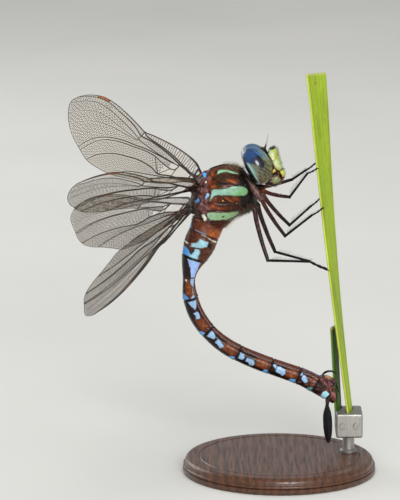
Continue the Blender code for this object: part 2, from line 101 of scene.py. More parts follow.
# Share of the wing's length, and how far its front and rear edges are from its axis.
WING_OUTLINE = {
    "fore": (
        (-0.04, 0.0, 0.036), (0.0, 0.006, 0.042), (0.06, 0.025, 0.066), (0.15, 0.031, 0.118),
        (0.27, 0.026, 0.164), (0.4, 0.011, 0.203), (0.465, 0.001, 0.219), (0.53, 0.007, 0.229),
        (0.65, 0.0165, 0.235), (0.76, 0.019, 0.214), (0.85, 0.0095, 0.19), (0.93, -0.021, 0.154),
        (0.975, -0.053, 0.121), (0.995, -0.078, 0.098)),
    "hind": (
        (-0.04, 0.002, 0.071), (0.0, 0.01, 0.095), (0.05, 0.033, 0.165), (0.1, 0.033, 0.222),
        (0.2, 0.0255, 0.276), (0.3, 0.0125, 0.28), (0.4, 0.001, 0.283), (0.43, -0.001, 0.286),
        (0.5, 0.003, 0.29), (0.6, 0.0085, 0.283), (0.7, 0.0075, 0.257), (0.8, 0.001, 0.218),
        (0.88, -0.01, 0.187), (0.94, -0.03, 0.16), (0.975, -0.052, 0.134), (0.995, -0.08, 0.11)),
}
# A leg's inner end, hip, knee, ankle and toe, with the sides measured from the middle.
LEGS = {
    "fore": dict(
        right=(
            (-5.8, 1.3, 53.7), (-3.15, 2.3, 53.65), (1.55, 6.0, 53.2), (4.9, 3.4, 57.2),
            (6.65, 0.9, 57.6)),
        left=(
            (-5.6, 1.3, 53.7), (-3.0, 2.3, 53.65), (2.3, 6.0, 54.4), (5.0, 3.6, 56.7),
            (6.45, 2.1, 58.1))),
    "mid": dict(
        right=(
            (-6.6, 1.7, 52.2), (-3.6, 2.8, 52.3), (0.75, 6.2, 46.0), (5.8, 3.4, 49.4),
            (7.75, 0.9, 50.2)),
        left=(
            (-6.4, 1.7, 52.1), (-3.2, 2.8, 52.1), (1.9, 6.2, 45.7), (5.9, 3.6, 49.9),
            (7.4, 2.2, 51.5))),
    "hind": dict(
        right=(
            (-7.4, 1.6, 51.6), (-4.9, 2.8, 50.6), (-2.4, 6.0, 41.4), (5.35, 3.0, 40.6),
            (8.8, 0.9, 38.6)),
        left=(
            (-7.2, 1.6, 51.5), (-4.2, 2.8, 50.2), (-0.8, 6.0, 40.7), (5.75, 3.2, 39.4),
            (8.7, 2.1, 38.3))),
}
# Radii of thigh, shin and foot.
LEG_RADII = {"fore": (0.37, 0.23, 0.18), "mid": (0.39, 0.24, 0.18), "hind": (0.43, 0.25, 0.19)}
ANTENNA = ((-2.75, 1.0, 61.6), (-2.5, 1.25, 62.6), (-2.25, 1.7, 63.9))
LEAF_THICKNESS = 0.6
# Leaves: size, place and bow of the near edge, and how its face turns with height.
BLADE = dict(width=4.6, low=8.0, high=75.0, edge=(12.95, -0.1285, -0.3), edge_y=-0.05,
             face=(78.0, -0.25, -0.0063))
LEAF = dict(width=3.2, low=8.0, high=27.0, edge=(10.62, -0.06, 0.0), edge_y=1.75,
            face=(68.0, 0.0, 0.0))
EDGE_DATUM = 9.8
EDGE_SPAN = 58.6


# ---------------------------- shapes

def through(stations, t):
    """The values at t on a smooth curve through stations of (t, value, value, ...)."""
    last = len(stations) - 1
    start = max(i for i in range(last) if i == 0 or stations[i][0] <= t)
    before, a, b, after = (stations[min(max(start + step, 0), last)] for step in (-1, 0, 1, 2))
    span = b[0] - a[0]
    x = min(max((t - a[0]) / span, 0.0), 1.0)
    values = []
    for k in range(1, len(a)):
        slope_a = (b[k] - before[k]) / (b[0] - before[0]) * span
        slope_b = (after[k] - a[k]) / (after[0] - a[0]) * span
        values.append(a[k] * (2 * x**3 - 3 * x**2 + 1) + slope_a * (x**3 - 2 * x**2 + x)
                      + b[k] * (3 * x**2 - 2 * x**3) + slope_b * (x**3 - x**2))
    return values


def curve(stations, count):
    """Rows of values, evenly spread from the first station to the last on a smooth curve."""
    stations = [(index, *station) for index, station in enumerate(stations)]
    return np.array([through(stations, t) for t in np.linspace(0, len(stations) - 1, count)])


def unit(vectors):
    """Vectors scaled to length one."""
    return vectors / np.maximum(np.linalg.norm(vectors, axis=-1, keepdims=True), 1e-12)


def flat(direction):
    """The unit vector at this angle in the mirror plane, from +X towards +Z."""
    angle = math.radians(direction)
    return np.array((math.cos(angle), 0.0, math.sin(angle)))


def in_plane(place):
    """The point of the mirror plane at this (X, height)."""
    return np.array((place[0], 0.0, place[1]))


def mirrored(route, side):
    """A left-hand route's points, moved to the right for side -1."""
    return [np.array((x, side * y, z)) for x, y, z in route]


def oval(centre, across, up, half_width, half_height, count, power=2.0, top=0.0, bottom=0.0):
    """A superellipse ring; top and bottom narrow its upper and its lower half."""
    angle = 2 * math.pi * np.arange(count) / count
    c, s = np.cos(angle), np.sin(angle)
    narrow = 1 - np.where(s > 0, top, bottom) * s * s
    x = np.sign(c) * np.abs(c) ** (2 / power) * half_width * narrow
    y = np.sign(s) * np.abs(s) ** (2 / power) * half_height
    return np.asarray(centre) + np.outer(x, across) + np.outer(y, up)


def grid_faces(rows, columns, wrap=True):
    """The quads of a grid of points; wrap joins the last column to the first."""
    i, j = np.meshgrid(np.arange(rows - 1), np.arange(columns if wrap else columns - 1),
                       indexing="ij")
    k = (j + 1) % columns
    quads = (i * columns + j, i * columns + k, (i + 1) * columns + k, (i + 1) * columns + j)
    return np.stack(quads, -1).reshape(-1, 4)


def tube_faces(rows, columns):
    """A grid's quads with a face across each end."""
    last = (rows - 1) * columns
    ends = np.array((np.arange(columns)[::-1], last + np.arange(columns)))
    return [grid_faces(rows, columns), ends]


def skin(rings):
    """A grid of rings as (points, faces), with a face across each end."""
    grid = np.asarray(rings)
    return grid.reshape(-1, 3), tube_faces(*grid.shape[:2])


def grid_normals(grid):
    """The outward unit normals of a grid of rings."""
    around = np.roll(grid, -1, 1) - np.roll(grid, 1, 1)
    normal = unit(np.cross(around, np.gradient(grid, axis=0)))
    outward = grid - grid.mean(axis=1, keepdims=True)
    return -normal if np.sum(normal * outward) < 0 else normal


def strands(paths, radii, sides):
    """Many closed round strands: paths (n, stations, 3) and radii (n, stations)."""
    paths, radii = np.asarray(paths, float), np.asarray(radii, float)
    count, stations, _ = paths.shape
    tangent = unit(np.gradient(paths, axis=1))
    first = tangent.mean(1, keepdims=True)
    helper = np.where(np.abs(first[..., 2:]) < 0.8, (0.0, 0.0, 1.0), (0.3, 1.0, 0.0))
    across = unit(np.cross(tangent, helper))
    up = np.cross(tangent, across)
    angle = 2 * math.pi * np.arange(sides) / sides
    ring = (across[:, :, None] * np.cos(angle)[:, None] + up[:, :, None] * np.sin(angle)[:, None])
    points = paths[:, :, None] + radii[:, :, None, None] * ring
    shift = (np.arange(count) * stations * sides)[:, None, None]
    quads, ends = tube_faces(stations, sides)
    return (points.reshape(-1, 3),
            [(quads[None] + shift).reshape(-1, 4), (ends[None] + shift).reshape(-1, sides)])


def strand(path, radius, sides):
    """One closed round strand, with one radius or a radius at each point."""
    return strands(path[None], np.broadcast_to(radius, len(path))[None], sides)


def limb(path, radii, sides, rows):
    """One smooth tapering strand through a few points."""
    stations = curve([(*point, radius) for point, radius in zip(path, radii)], rows)
    return strand(stations[:, :3], stations[:, 3], sides)


def bead(centre, halves, count=24):
    """A small closed ellipsoid as (points, faces)."""
    leans = np.linspace(0.08, math.pi - 0.08, count)
    return skin([oval(np.asarray(centre) + (0, 0, halves[2] * math.cos(lean)), X_AXIS, Y_AXIS,
                      halves[0] * math.sin(lean), halves[1] * math.sin(lean), count)
                 for lean in leans])


def lathe(profile, count, centre=(0, 0)):
    """A turned solid from (radius, height) corners, closed at both ends."""
    return skin([oval((*centre, height), X_AXIS, Y_AXIS, radius, radius, count)
                 for radius, height in profile])


def joined(parts):
    """Several (points, faces) as one."""
    points, faces, start = [], [], 0
    for part_points, part_faces in parts:
        points.append(part_points)
        faces += [block + start for block in part_faces]
        start += len(part_points)
    return np.concatenate(points), faces


def make_piece(name, points, faces, finish, slot, replaces=(), tint=None, uv=None, crease=None):
    """A mesh piece riding on the model: tint colours its points, uv places them on OFBake.

    Edges sharper than crease stay sharp, and the others are smooth.
    """
    mesh = bpy.data.meshes.new(name)
    sizes = np.concatenate([np.full(len(block), block.shape[1]) for block in faces])
    corners = np.concatenate([block.ravel() for block in faces]).astype(np.int32)
    mesh.vertices.add(len(points))
    mesh.vertices.foreach_set("co", (np.asarray(points) * MM).astype(np.float32).ravel())
    mesh.loops.add(len(corners))
    mesh.loops.foreach_set("vertex_index", corners)
    mesh.polygons.add(len(sizes))
    starts = np.concatenate(([0], np.cumsum(sizes)[:-1])).astype(np.int32)
    mesh.polygons.foreach_set("loop_start", starts)
    mesh.update(calc_edges=True)
    mesh.validate()
    mesh.shade_smooth()
    if crease is not None:
        mesh.set_sharp_from_angle(angle=math.radians(crease))
    if tint is not None:
        rgba = np.ones((len(points), 4))
        rgba[:, :3] = np.clip(linear(tint), 0, 1)
        layer = mesh.attributes.new("tint", "FLOAT_COLOR", "POINT")
        layer.data.foreach_set("color", rgba.astype(np.float32).ravel())
    if uv is not None:
        layer = mesh.uv_layers.new(name="OFBake")
        layer.data.foreach_set("uv", np.asarray(uv)[corners].astype(np.float32).ravel())
    mesh.materials.append(finish)
    piece = bpy.data.objects.new(name, mesh)
    bpy.context.scene.collection.objects.link(piece)
    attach(piece, "root")
    if replaces:
        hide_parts(*replaces)


# ---------------------------- colours and markings

# Colours as 0 to 255 display values.
CHESTNUT = (72, 30, 14)
DARK = (24, 12, 8)
BLACK = (9, 7, 7)
MAUVE = (124, 88, 84)
MINT = (132, 168, 154)
MINT_DEEP = (102, 146, 96)
SKY = (72, 146, 214)
PALE_BLUE = (138, 170, 202)
CREAM = (206, 208, 192)


def colour(red, green, blue):
    """A linear colour from its 0 to 255 display values."""
    shares = np.array((red, green, blue)) / 255
    return np.where(shares > 0.04045, ((shares + 0.055) / 1.055) ** 2.4, shares / 12.92)


def linear(ink):
    """A colour's linear values, from its 0 to 255 display values or as they are."""
    return colour(*ink) if isinstance(ink, tuple) else ink


def step(low, high, x):
    """0 below low, 1 above high and smooth between."""
    t = np.clip((x - low) / (high - low), 0, 1)
    return t * t * (3 - 2 * t)


def bell(x, middle, width):
    """1 at the middle, falling away smoothly over this width on both sides."""
    return np.exp(-((x - middle) / width) ** 2)


def from_line(places, line, closed=False):
    """How far flat places are from a line of points, and whether they are inside it."""
    place = np.asarray(places)[:, None, :]
    start = np.asarray(line, float)
    edge = np.roll(start, -1, 0) - start
    if not closed:
        start, edge = start[:-1], edge[:-1]
    from_start = place - start
    share = np.clip((from_start * edge).sum(2) / (edge * edge).sum(1), 0, 1)
    near = np.linalg.norm(from_start - share[..., None] * edge, axis=2).min(1)
    y = place[..., 1]
    crossed = (start[:, 1] > y) != (start[:, 1] + edge[:, 1] > y)
    rise = np.where(edge[:, 1] == 0, 1e-9, edge[:, 1])
    left = place[..., 0] < start[:, 0] + edge[:, 0] * (y - start[:, 1]) / rise
    return near, (crossed & left).sum(1) % 2 == 1


def patch(places, outline, soft=0.12, wobble=0.0, grow=0.0):
    """1 inside an outline and 0 outside, with a soft edge that may wobble."""
    near, inside = from_line(places, outline, closed=True)
    return 1 - step(-soft, soft, np.where(inside, -near, near) + wobble - grow)


def stripe(places, line, width, soft=0.06):
    """1 on a line of this width and 0 away from it."""
    return 1 - step(width / 2 - soft, width / 2 + soft, from_line(places, line)[0])


def spot(places, middle, half_wide, half_high=None, turn=0.0, soft=0.15):
    """1 inside an ellipse turned by an angle and 0 outside."""
    away = np.asarray(places) - np.asarray(middle)
    c, s = math.cos(math.radians(turn)), math.sin(math.radians(turn))
    x = (away[:, 0] * c + away[:, 1] * s) / half_wide
    y = (away[:, 1] * c - away[:, 0] * s) / (half_high or half_wide)
    return 1 - step(1 - soft, 1 + soft, np.hypot(x, y))


def ripple(points, size, seed):
    """A smooth irregular value from about -1 to 1, with waves of about this size."""
    rng = np.random.default_rng(seed)
    total = 0.0
    for _ in range(6):
        direction = unit(rng.normal(size=3))
        wave = size * rng.uniform(0.6, 1.6)
        total = total + np.sin(points @ direction * 2 * math.pi / wave + rng.uniform(0, 6.3))
    return total / 3


def cloud(points, size, seed, low, high):
    """Irregular patches of about this size: 1 where their ripple is above high."""
    return step(low, high, ripple(points, size, seed))


def paint(tint, *layers):
    """Lays (share, colour) layers over the tint in turn, each where its share is 1."""
    tint = linear(tint)
    for share, ink in layers:
        tint = tint * (1 - share[:, None]) + linear(ink) * share[:, None]
    return tint


# ---------------------------- materials

def node(tree, kind, inputs=None, **settings):
    """A shader node with its settings and its inputs, which are values or other outputs."""
    made = tree.nodes.new(kind)
    for key, value in settings.items():
        setattr(made, key, value)
    for key, value in (inputs or {}).items():
        if isinstance(value, bpy.types.NodeSocket):
            tree.links.new(value, made.inputs[key])
        else:
            made.inputs[key].default_value = value
    return made


def texture(tree, kind, scale, stretch=(1, 1, 1), output="Fac", **inputs):
    """A noise, voronoi or wave texture on the model's own axes, scale in waves per metre."""
    place = node(tree, "ShaderNodeTexCoord").outputs["Object"]
    spread = node(tree, "ShaderNodeMapping", {"Vector": place, "Scale": stretch})
    made = node(tree, kind, {"Vector": spread.outputs["Vector"], "Scale": scale, **inputs})
    return made.outputs[output]


def noise(tree, scale, detail, stretch=(1, 1, 1), **inputs):
    """A noise texture's value, from 0 to 1."""
    return texture(tree, "ShaderNodeTexNoise", scale, stretch, Detail=float(detail), **inputs)


def blend(tree, factor, a, b):
    """A mix of two colours, each an output or a display triple."""
    a, b = ((*colour(*side), 1) if isinstance(side, tuple) else side for side in (a, b))
    return node(tree, "ShaderNodeMix", {"Factor": factor, 6: a, 7: b}, data_type="RGBA").outputs[2]


def between(tree, value, low, high, to_low, to_high):
    """A number mapped from one range to another."""
    inputs = {"Value": value, 1: low, 2: high, 3: to_low, 4: to_high}
    return node(tree, "ShaderNodeMapRange", inputs).outputs["Result"]


def shaded_tint(tree, *factors):
    """The painted tint, made lighter or darker by each factor in turn."""
    shade = node(tree, "ShaderNodeAttribute", attribute_name="tint").outputs["Color"]
    for factor in factors:
        shade = node(tree, "ShaderNodeVectorMath", {0: shade, "Scale": factor},
                     operation="SCALE").outputs[0]
    return shade


def bump(tree, height, distance, strength=1.0, before=None):
    """A bump of this depth in metres, on top of another one if given."""
    inputs = {"Height": height, "Distance": distance, "Strength": strength}
    if before is not None:
        inputs["Normal"] = before
    return node(tree, "ShaderNodeBump", inputs).outputs["Normal"]


def principled(name, **values):
    """A material with its Principled shader's own values set, and its node tree."""
    made = bpy.data.materials.new(name)
    made.use_nodes = True
    for key, value in values.items():
        made.node_tree.nodes["Principled BSDF"].inputs[key.replace("_", " ")].default_value = value
    return made, made.node_tree


def wired(made, **outputs):
    """The material with these outputs led to the inputs of its Principled shader."""
    shader = made.node_tree.nodes["Principled BSDF"]
    for key, output in outputs.items():
        made.node_tree.links.new(output, shader.inputs[key.replace("_", " ")])
    return made


def cuticle(name, mottle=0.16, fleck=0.1, pits=0.00001, roughness=(0.22, 0.4), **values):
    """Insect shell in its painted tint: lightly mottled, finely pitted and unevenly glossy."""
    made, tree = principled(name, **values)
    coarse = noise(tree, 1400, 5, Roughness=0.62)
    fine = noise(tree, 9000, 3)
    dim = between(tree, coarse, 0.3, 0.7, 1 - mottle, 1 + mottle)
    grain = between(tree, fine, 0.35, 0.65, 1 - fleck, 1 + fleck)
    return wired(made, Base_Color=shaded_tint(tree, dim, grain),
                 Roughness=between(tree, coarse, 0.3, 0.7, *roughness),
                 Normal=bump(tree, fine, pits, 0.8, bump(tree, coarse, pits * 4)))


def bristle_material(name, dark, light):
    """Fine hairs, each a little lighter or darker than the next."""
    made, tree = principled(name, Roughness=0.5, Specular_IOR_Level=0.4)
    share = between(tree, noise(tree, 2600, 2), 0.35, 0.65, 0.0, 1.0)
    return wired(made, Base_Color=blend(tree, share, dark, light))


def eye_material():
    """A compound eye: its painted zones under a clear coat, over thousands of facets."""
    made, tree = principled("compound eye", Roughness=0.32, Specular_IOR_Level=0.3,
                            Coat_Weight=0.6, Coat_Roughness=0.05)
    facets = texture(tree, "ShaderNodeTexVoronoi", 14000, output="Distance")
    dim = between(tree, noise(tree, 900, 3), 0.3, 0.7, 0.85, 1.18)
    rim = between(tree, facets, 0.0, 0.7, 1.1, 0.85)
    dome = between(tree, facets, 0.0, 0.7, 1.0, 0.0)
    return wired(made, Base_Color=shaded_tint(tree, dim, rim),
                 Normal=bump(tree, dome, 0.000004, 0.5))


def membrane_material():
    """Clear wing skin, a little smoky, with a soft uneven sheen."""
    made, tree = principled("wing membrane", Alpha=0.22, Roughness=0.22, Specular_IOR_Level=0.6,
                            Coat_Weight=0.3, Coat_Roughness=0.15)
    dim = between(tree, noise(tree, 130, 4), 0.3, 0.7, 0.85, 1.15)
    return wired(made, Base_Color=shaded_tint(tree, dim),
                 Normal=bump(tree, noise(tree, 900, 3), 0.00003, 0.5))


def leaf_material():
    """Satin leaf in its painted tint, with cells and faint marks between its veins."""
    made, tree = principled("leaf", Subsurface_Weight=0.15, Subsurface_Scale=0.0006,
                            Subsurface_Radius=(0.6, 1.0, 0.3), Specular_IOR_Level=0.35)
    marks = noise(tree, 260, 5, (1, 1, 0.25))
    cells = noise(tree, 4200, 3, (1, 1, 0.2))
    dim = between(tree, marks, 0.3, 0.7, 0.82, 1.16)
    fleck = between(tree, cells, 0.3, 0.7, 0.9, 1.08)
    return wired(made, Base_Color=shaded_tint(tree, dim, fleck),
                 Roughness=between(tree, marks, 0.3, 0.7, 0.38, 0.55),
                 Normal=bump(tree, cells, 0.00002, 0.7))


def wood_material():
    """Oiled dark wood with long grain and fine pores."""
    made, tree = principled("oiled wood", Coat_Weight=0.25, Coat_Roughness=0.2)
    rings = texture(tree, "ShaderNodeTexWave", 190, (1, 0.12, 1), Distortion=7.0, Detail=3.0)
    pores = noise(tree, 2400, 3, (1, 0.06, 1))
    shade = blend(tree, between(tree, rings, 0.1, 0.9, 0.0, 1.0), (66, 39, 23), (92, 56, 33))
    for share, ink in ((between(tree, noise(tree, 60, 4, (1, 0.15, 1)), 0.3, 0.7, 0.0, 0.6),
                        (74, 42, 24)),
                       (between(tree, pores, 0.52, 0.66, 0.0, 0.75), (34, 19, 12))):
        shade = blend(tree, share, shade, ink)
    return wired(made, Base_Color=shade, Roughness=between(tree, pores, 0.3, 0.7, 0.3, 0.5),
                 Normal=bump(tree, pores, 0.00003, 0.6))


def steel_material():
    """Brushed steel with fine scratches along its height."""
    made, tree = principled("brushed steel", Metallic=1.0)
    brush = noise(tree, 9000, 4, (1, 1, 0.03))
    share = between(tree, brush, 0.3, 0.7, 0.0, 1.0)
    return wired(made, Base_Color=blend(tree, share, (158, 155, 150), (186, 183, 178)),
                 Roughness=between(tree, noise(tree, 300, 3), 0.3, 0.7, 0.4, 0.58),
                 Normal=bump(tree, brush, 0.000008, 0.8))


# ---------------------------- thorax

# Markings of the thorax's side as (X, height) of their corners, left and right alike.
SHOULDER_STRIPE = (
    (-11.66, 56.4), (-11.5, 57.0), (-11.0, 57.2), (-9.78, 57.16), (-8.64, 56.84), (-7.7, 56.44),
    (-8.84, 56.5), (-9.78, 56.8), (-10.52, 56.8), (-11.18, 56.58))
SIDE_STRIPE = (
    (-13.0, 51.35), (-12.8, 52.5), (-12.6, 53.36), (-12.28, 53.56), (-11.0, 53.5), (-9.95, 53.6),
    (-9.45, 53.86), (-8.8, 54.06), (-7.6, 54.12), (-6.9, 54.02), (-6.36, 53.72), (-6.06, 53.32),
    (-6.02, 52.98), (-6.26, 52.62), (-6.75, 52.4), (-7.5, 52.33), (-9.0, 52.36), (-10.05, 52.46),
    (-10.8, 52.38), (-11.6, 52.48), (-12.1, 52.34), (-12.5, 52.02))
REAR_STRIPE = (
    (-13.58, 48.77), (-13.34, 49.18), (-11.93, 49.22), (-10.51, 49.12), (-9.38, 49.2),
    (-7.98, 49.42), (-7.68, 49.24), (-8.16, 48.74), (-9.1, 48.17), (-10.05, 47.85),
    (-12.0, 47.78), (-12.87, 47.78), (-13.34, 48.19))
SHOULDER_SEAM = (
    (-13.06, 56.76), (-12.6, 55.73), (-11.93, 55.16), (-11.02, 54.69), (-9.63, 54.8),
    (-8.15, 54.41), (-6.6, 54.3))
SIDE_SEAM = (
    (-13.5, 51.0), (-12.2, 51.1), (-10.75, 50.75), (-8.9, 51.0), (-7.8, 50.3), (-7.2, 49.9))
REAR_SEAM = (
    (-13.5, 49.45), (-12.0, 49.62), (-10.0, 49.45), (-8.5, 49.75), (-7.6, 49.78), (-7.3, 49.2),
    (-7.86, 48.36), (-9.35, 47.6), (-11.1, 47.35), (-12.6, 47.35))
# Painted orange highlights, where the shell seems to glow: middle, half width, half height, turn,
# colour.
PAINTED_GLOWS = (
    ((-9.0, 55.0), 0.85, 0.26, -22, (150, 70, 20)),
    ((-12.75, 56.0), 0.28, 0.85, -22, (150, 76, 24)),
    ((-12.35, 54.05), 0.5, 0.25, 0, (132, 70, 30)),
    ((-9.6, 51.6), 0.95, 0.15, -30, (140, 66, 24)), ((-12.6, 50.4), 0.8, 0.35, 10, (118, 56, 24)),
    ((-11.3, 50.0), 0.9, 0.2, -8, (122, 52, 22)))
# Blue plates at the wing roots: middle, half width, half height, turn, colour.
ROOT_PLATES = (
    ((-13.97, 56.3), 0.32, 0.46, 20, SKY), ((-13.54, 52.26), 0.26, 0.62, -28, PALE_BLUE),
    ((-15.3, 51.42), 0.28, 0.44, -48, SKY), ((-14.02, 48.22), 0.3, 0.62, 24, CREAM),
    ((-13.76, 54.9), 0.15, 0.22, 10, CREAM), ((-14.45, 53.6), 0.2, 0.34, 30, MAUVE))
# The breathing hole of the side: middle, half width, half height, turn.
SPIRACLE = ((-8.17, 51.06), 0.42, 0.3, 20)
# Small pale painted highlights (glints) on the sides: middle and half width.
PAINTED_GLINTS = (((-11.92, 51.85), 0.2), ((-11.4, 49.95), 0.18), ((-12.5, 50.35), 0.26))
# The folds of the back are stretched along these axes.
BACK_FOLDS = (1.5, 1, 0.6)
# The neck from its top to its foot: share of the way, width and depth.
NECK = ((0, 2.2, 1.9), (0.12, 3.2, 2.7), (0.45, 3.9, 3.4), (1, 3.9, 3.4))
NECK_TOP = (-6.15, 0, 56.45)
NECK_FOOT = (-7.65, 0, 54.85)
NECK_TILT = 123


def thorax_grid():
    """The thorax's smooth surface as rings that tilt with its back."""
    return np.array([oval((x, 0, z), Y_AXIS, flat(tilt), width / 2, depth / 2, 300, power=2.3,
                          top=0.16, bottom=0.22)
                     for x, z, depth, width, tilt in curve(THORAX, 210)])


def side_places(points):
    """Where points lie on the side of the body: X, and a height that falls with the side."""
    return np.stack((points[:, 0], points[:, 2] - np.abs(points[:, 1]) * FALL), -1)


def root_places(points, places):
    """Side places shaken a little, so the plates at the wing roots are uneven."""
    return places + 0.1 * np.stack((ripple(points, 0.6, 24), ripple(points, 0.6, 25)), -1)


def thorax_relief(points, normals):
    """How far the shell stands out or dips at its seams, plates and wing roots, in mm."""
    places = side_places(points)
    height = np.zeros(len(points))
    for line, deep, wide in ((SHOULDER_SEAM, 0.1, 0.13), (SIDE_SEAM, 0.09, 0.13),
                             (REAR_SEAM, 0.11, 0.12)):
        away = from_line(places, line)[0]
        height -= deep * bell(away, 0, wide)
        height += deep * 0.12 * bell(away, 0.36, 0.2)
    for outline in (SIDE_STRIPE, REAR_STRIPE):
        height += 0.05 * patch(places, outline, 0.18)
    uneven = root_places(points, places)
    for *plate, _ in ROOT_PLATES:
        height += 0.2 * spot(uneven, *plate, 0.6)
    back = step(-12.8, -14.0, points[:, 0])
    fold = ripple(points * BACK_FOLDS, 1.3, 3)
    height += back * (0.14 * fold + 0.04 * ripple(points, 0.6, 4) - 0.08 * np.abs(fold))
    height += 0.03 * ripple(points, 2.4, 5)
    ridge = bell(points[:, 1], 0, 0.16) * step(0.2, 0.6, normals[:, 2])
    height += 0.22 * ridge * step(-13.5, -12.6, points[:, 0])
    return height - 0.14 * spot(places, *SPIRACLE, 0.4)


def thorax_tint(points):
    """Chestnut sides with mint stripes, dark in front, blue plates at the wing roots, and painted
    orange highlights, glints and shade in the back's folds.
    """
    places = side_places(points)
    x, z = places.T
    front = step(-8.3, -6.9, x + 0.1 * (z - 52) + 0.25 * ripple(points, 1.4, 9))
    back = step(-12.9, -13.4, x + 0.3 * ripple(points, 1.0, 6))
    fold = ripple(points * BACK_FOLDS, 1.3, 3)
    tint = paint(
        CHESTNUT,
        (0.55 * cloud(points, 2.2, 11, 0.1, 1.0), (122, 56, 22)),
        (0.75 * cloud(points, 1.5, 12, 0.0, 0.8), DARK),
        (0.5 * cloud(points, 0.6, 17, 0.3, 1.0), DARK),
        (0.85 * spot(places, (-10.75, 55.75), 1.45, 0.8, 0, 0.5), (46, 36, 22)),
        (0.8 * spot(places, (-11.46, 54.13), 0.75, 0.42, 0, 0.5), (50, 38, 22)),
        # painted orange highlights where the shell seems to glow
        *((0.85 * spot(places, *glow, 0.8), ink) for *glow, ink in PAINTED_GLOWS),
        (0.96 * np.clip(front, 0, 1), BLACK),
        (0.9 * back, (92, 56, 54)),
        # painted shade in the troughs of the back's folds
        (0.9 * back * step(-0.1, -0.7, fold), (34, 18, 16)),
        (0.6 * back * cloud(points, 1.0, 8, 0.1, 0.9), (128, 90, 88)),
        # sparse pale flecks: painted glints on the mauve back
        (0.5 * back * cloud(points, 0.7, 9, 0.7, 1.3), (176, 138, 132)),
        (0.85 * step(-14.5, -15.3, x + 0.5 * ripple(points, 1.3, 10)), (32, 20, 18)),
        *((0.85 * stripe(places, line, wide, 0.14), DARK)
          for line, wide in ((SHOULDER_SEAM, 0.26), (SIDE_SEAM, 0.22), (REAR_SEAM, 0.24))),
        (0.85 * patch(places, SIDE_STRIPE, 0.1, grow=0.15), DARK),
        (0.85 * patch(places, REAR_STRIPE, 0.1, grow=0.12), DARK))
    wobble = 0.04 * ripple(points, 0.6, 13)
    deepen = np.clip(step(-11.4, -6.6, x - 0.9 * (z - 53)) + 0.15 * ripple(points, 1.6, 14), 0, 1)
    mint = paint(MINT, (deepen, MINT_DEEP))
    mint *= (1 + 0.06 * ripple(points * (0.3, 1, 1), 0.5, 15))[:, None]
    rear_mint = mint * (1 - 0.35) + colour(164, 184, 150) * 0.35
    uneven = root_places(points, places)
    plates = [((0.8 * spot(uneven, middle, wide * 1.5, high * 1.3, turn, 0.4), DARK),
               (spot(uneven, middle, wide, high, turn, 0.3), ink))
              for middle, wide, high, turn, ink in ROOT_PLATES]
    crest = step(0.34, 0.2, np.abs(points[:, 1])) * step(-13.4, -13.0, x) * step(54.5, 55, z)
    return paint(
        tint,
        (patch(places, SHOULDER_STRIPE, 0.11, wobble * 0.5), (132, 186, 152)),
        (patch(places, SIDE_STRIPE, 0.12, wobble), mint),
        (patch(places, REAR_STRIPE, 0.12, wobble), rear_mint),
        (spot(places, (-10.6, 48.42), 0.2, 0.16, 20, 0.3), DARK),
        (0.9 * spot(places, *SPIRACLE, 0.3), BLACK),
        (0.8 * spot(places, (-8.1, 51.0), 0.15, 0.11, 20, 0.5), (120, 118, 80)),
        (spot(places, (-10.6, 51.42), 0.12, 0.1, 20, 0.5), (190, 184, 110)),
        # painted brownish-lilac highlight along the raised ridge at the front end of the rear seam
        (0.6 * stripe(places, REAR_SEAM[4:8], 0.16, 0.08), (120, 96, 96)),
        # painted highlights: small pale glints on the sides
        *((0.6 * spot(places, middle, size, size * 0.4, 25, 0.8), (176, 112, 92))
          for middle, size in PAINTED_GLINTS),
        *(layer for plate in plates for layer in plate),
        (0.9 * crest, BLACK))


def add_thorax(shell):
    """The thorax and the short neck in one skin each, with their relief and markings."""
    grid = thorax_grid()
    normals = grid_normals(grid)
    points, faces = skin(grid)
    out = normals.reshape(-1, 3)
    points = points + out * thorax_relief(points, out)[:, None]
    make_piece("thorax_skin", points, faces, shell, "brown_cuticle", ["thorax"],
               thorax_tint(points))
    start, end = np.array(NECK_TOP), np.array(NECK_FOOT)
    rings = []
    for share in np.linspace(0, 1, 60):
        width, depth = through(NECK, share)
        fold = 1 + 0.05 * math.sin(share * 26)
        rings.append(oval(start + (end - start) * share, Y_AXIS, flat(NECK_TILT),
                          width / 2 * fold, depth / 2 * fold, 90, power=2.2))
    points, faces = skin(rings)
    make_piece("prothorax_skin", points, faces, shell, "black_cuticle", ["prothorax"],
               paint(BLACK, (0.6 * cloud(points, 0.8, 21, 0.2, 0.9), (92, 70, 40))))
    return grid, normals


# ---------------------------- abdomen

# Markings of each segment as outlines of (share of its length, angle up its side).
FRONT_TRIANGLES = {
    4: ((0.05, 28), (0.05, -34), (0.14, -32), (0.25, -18), (0.29, -3), (0.2, 8)),
    5: ((0.06, 34), (0.04, -20), (0.12, -20), (0.25, -3), (0.24, 13)),
    6: ((0.05, 34), (0.04, -8), (0.14, -6), (0.2, 10), (0.18, 30)),
    7: ((0.04, -8), (0.05, -20), (0.15, -20), (0.16, 10)),
    8: ((0.07, -6), (0.07, -28), (0.15, -26), (0.17, -8)),
}
SIDE_OVALS = {
    4: ((0.37, 18), (0.37, -14), (0.45, -18), (0.55, -8), (0.57, 8), (0.52, 17), (0.44, 9)),
    5: ((0.32, 24), (0.33, -4), (0.4, -2), (0.52, 4), (0.57, 14), (0.52, 36), (0.42, 27)),
    6: (
        (0.27, 30), (0.27, 8), (0.34, 4), (0.48, 6), (0.53, 20), (0.51, 42), (0.42, 50),
        (0.36, 30)),
    7: ((0.19, 22), (0.19, -12), (0.3, -16), (0.48, -4), (0.53, 16), (0.46, 38), (0.3, 28)),
    8: ((0.17, 10), (0.2, -18), (0.3, -14), (0.5, 8), (0.52, 20), (0.42, 28), (0.27, 20)),
}
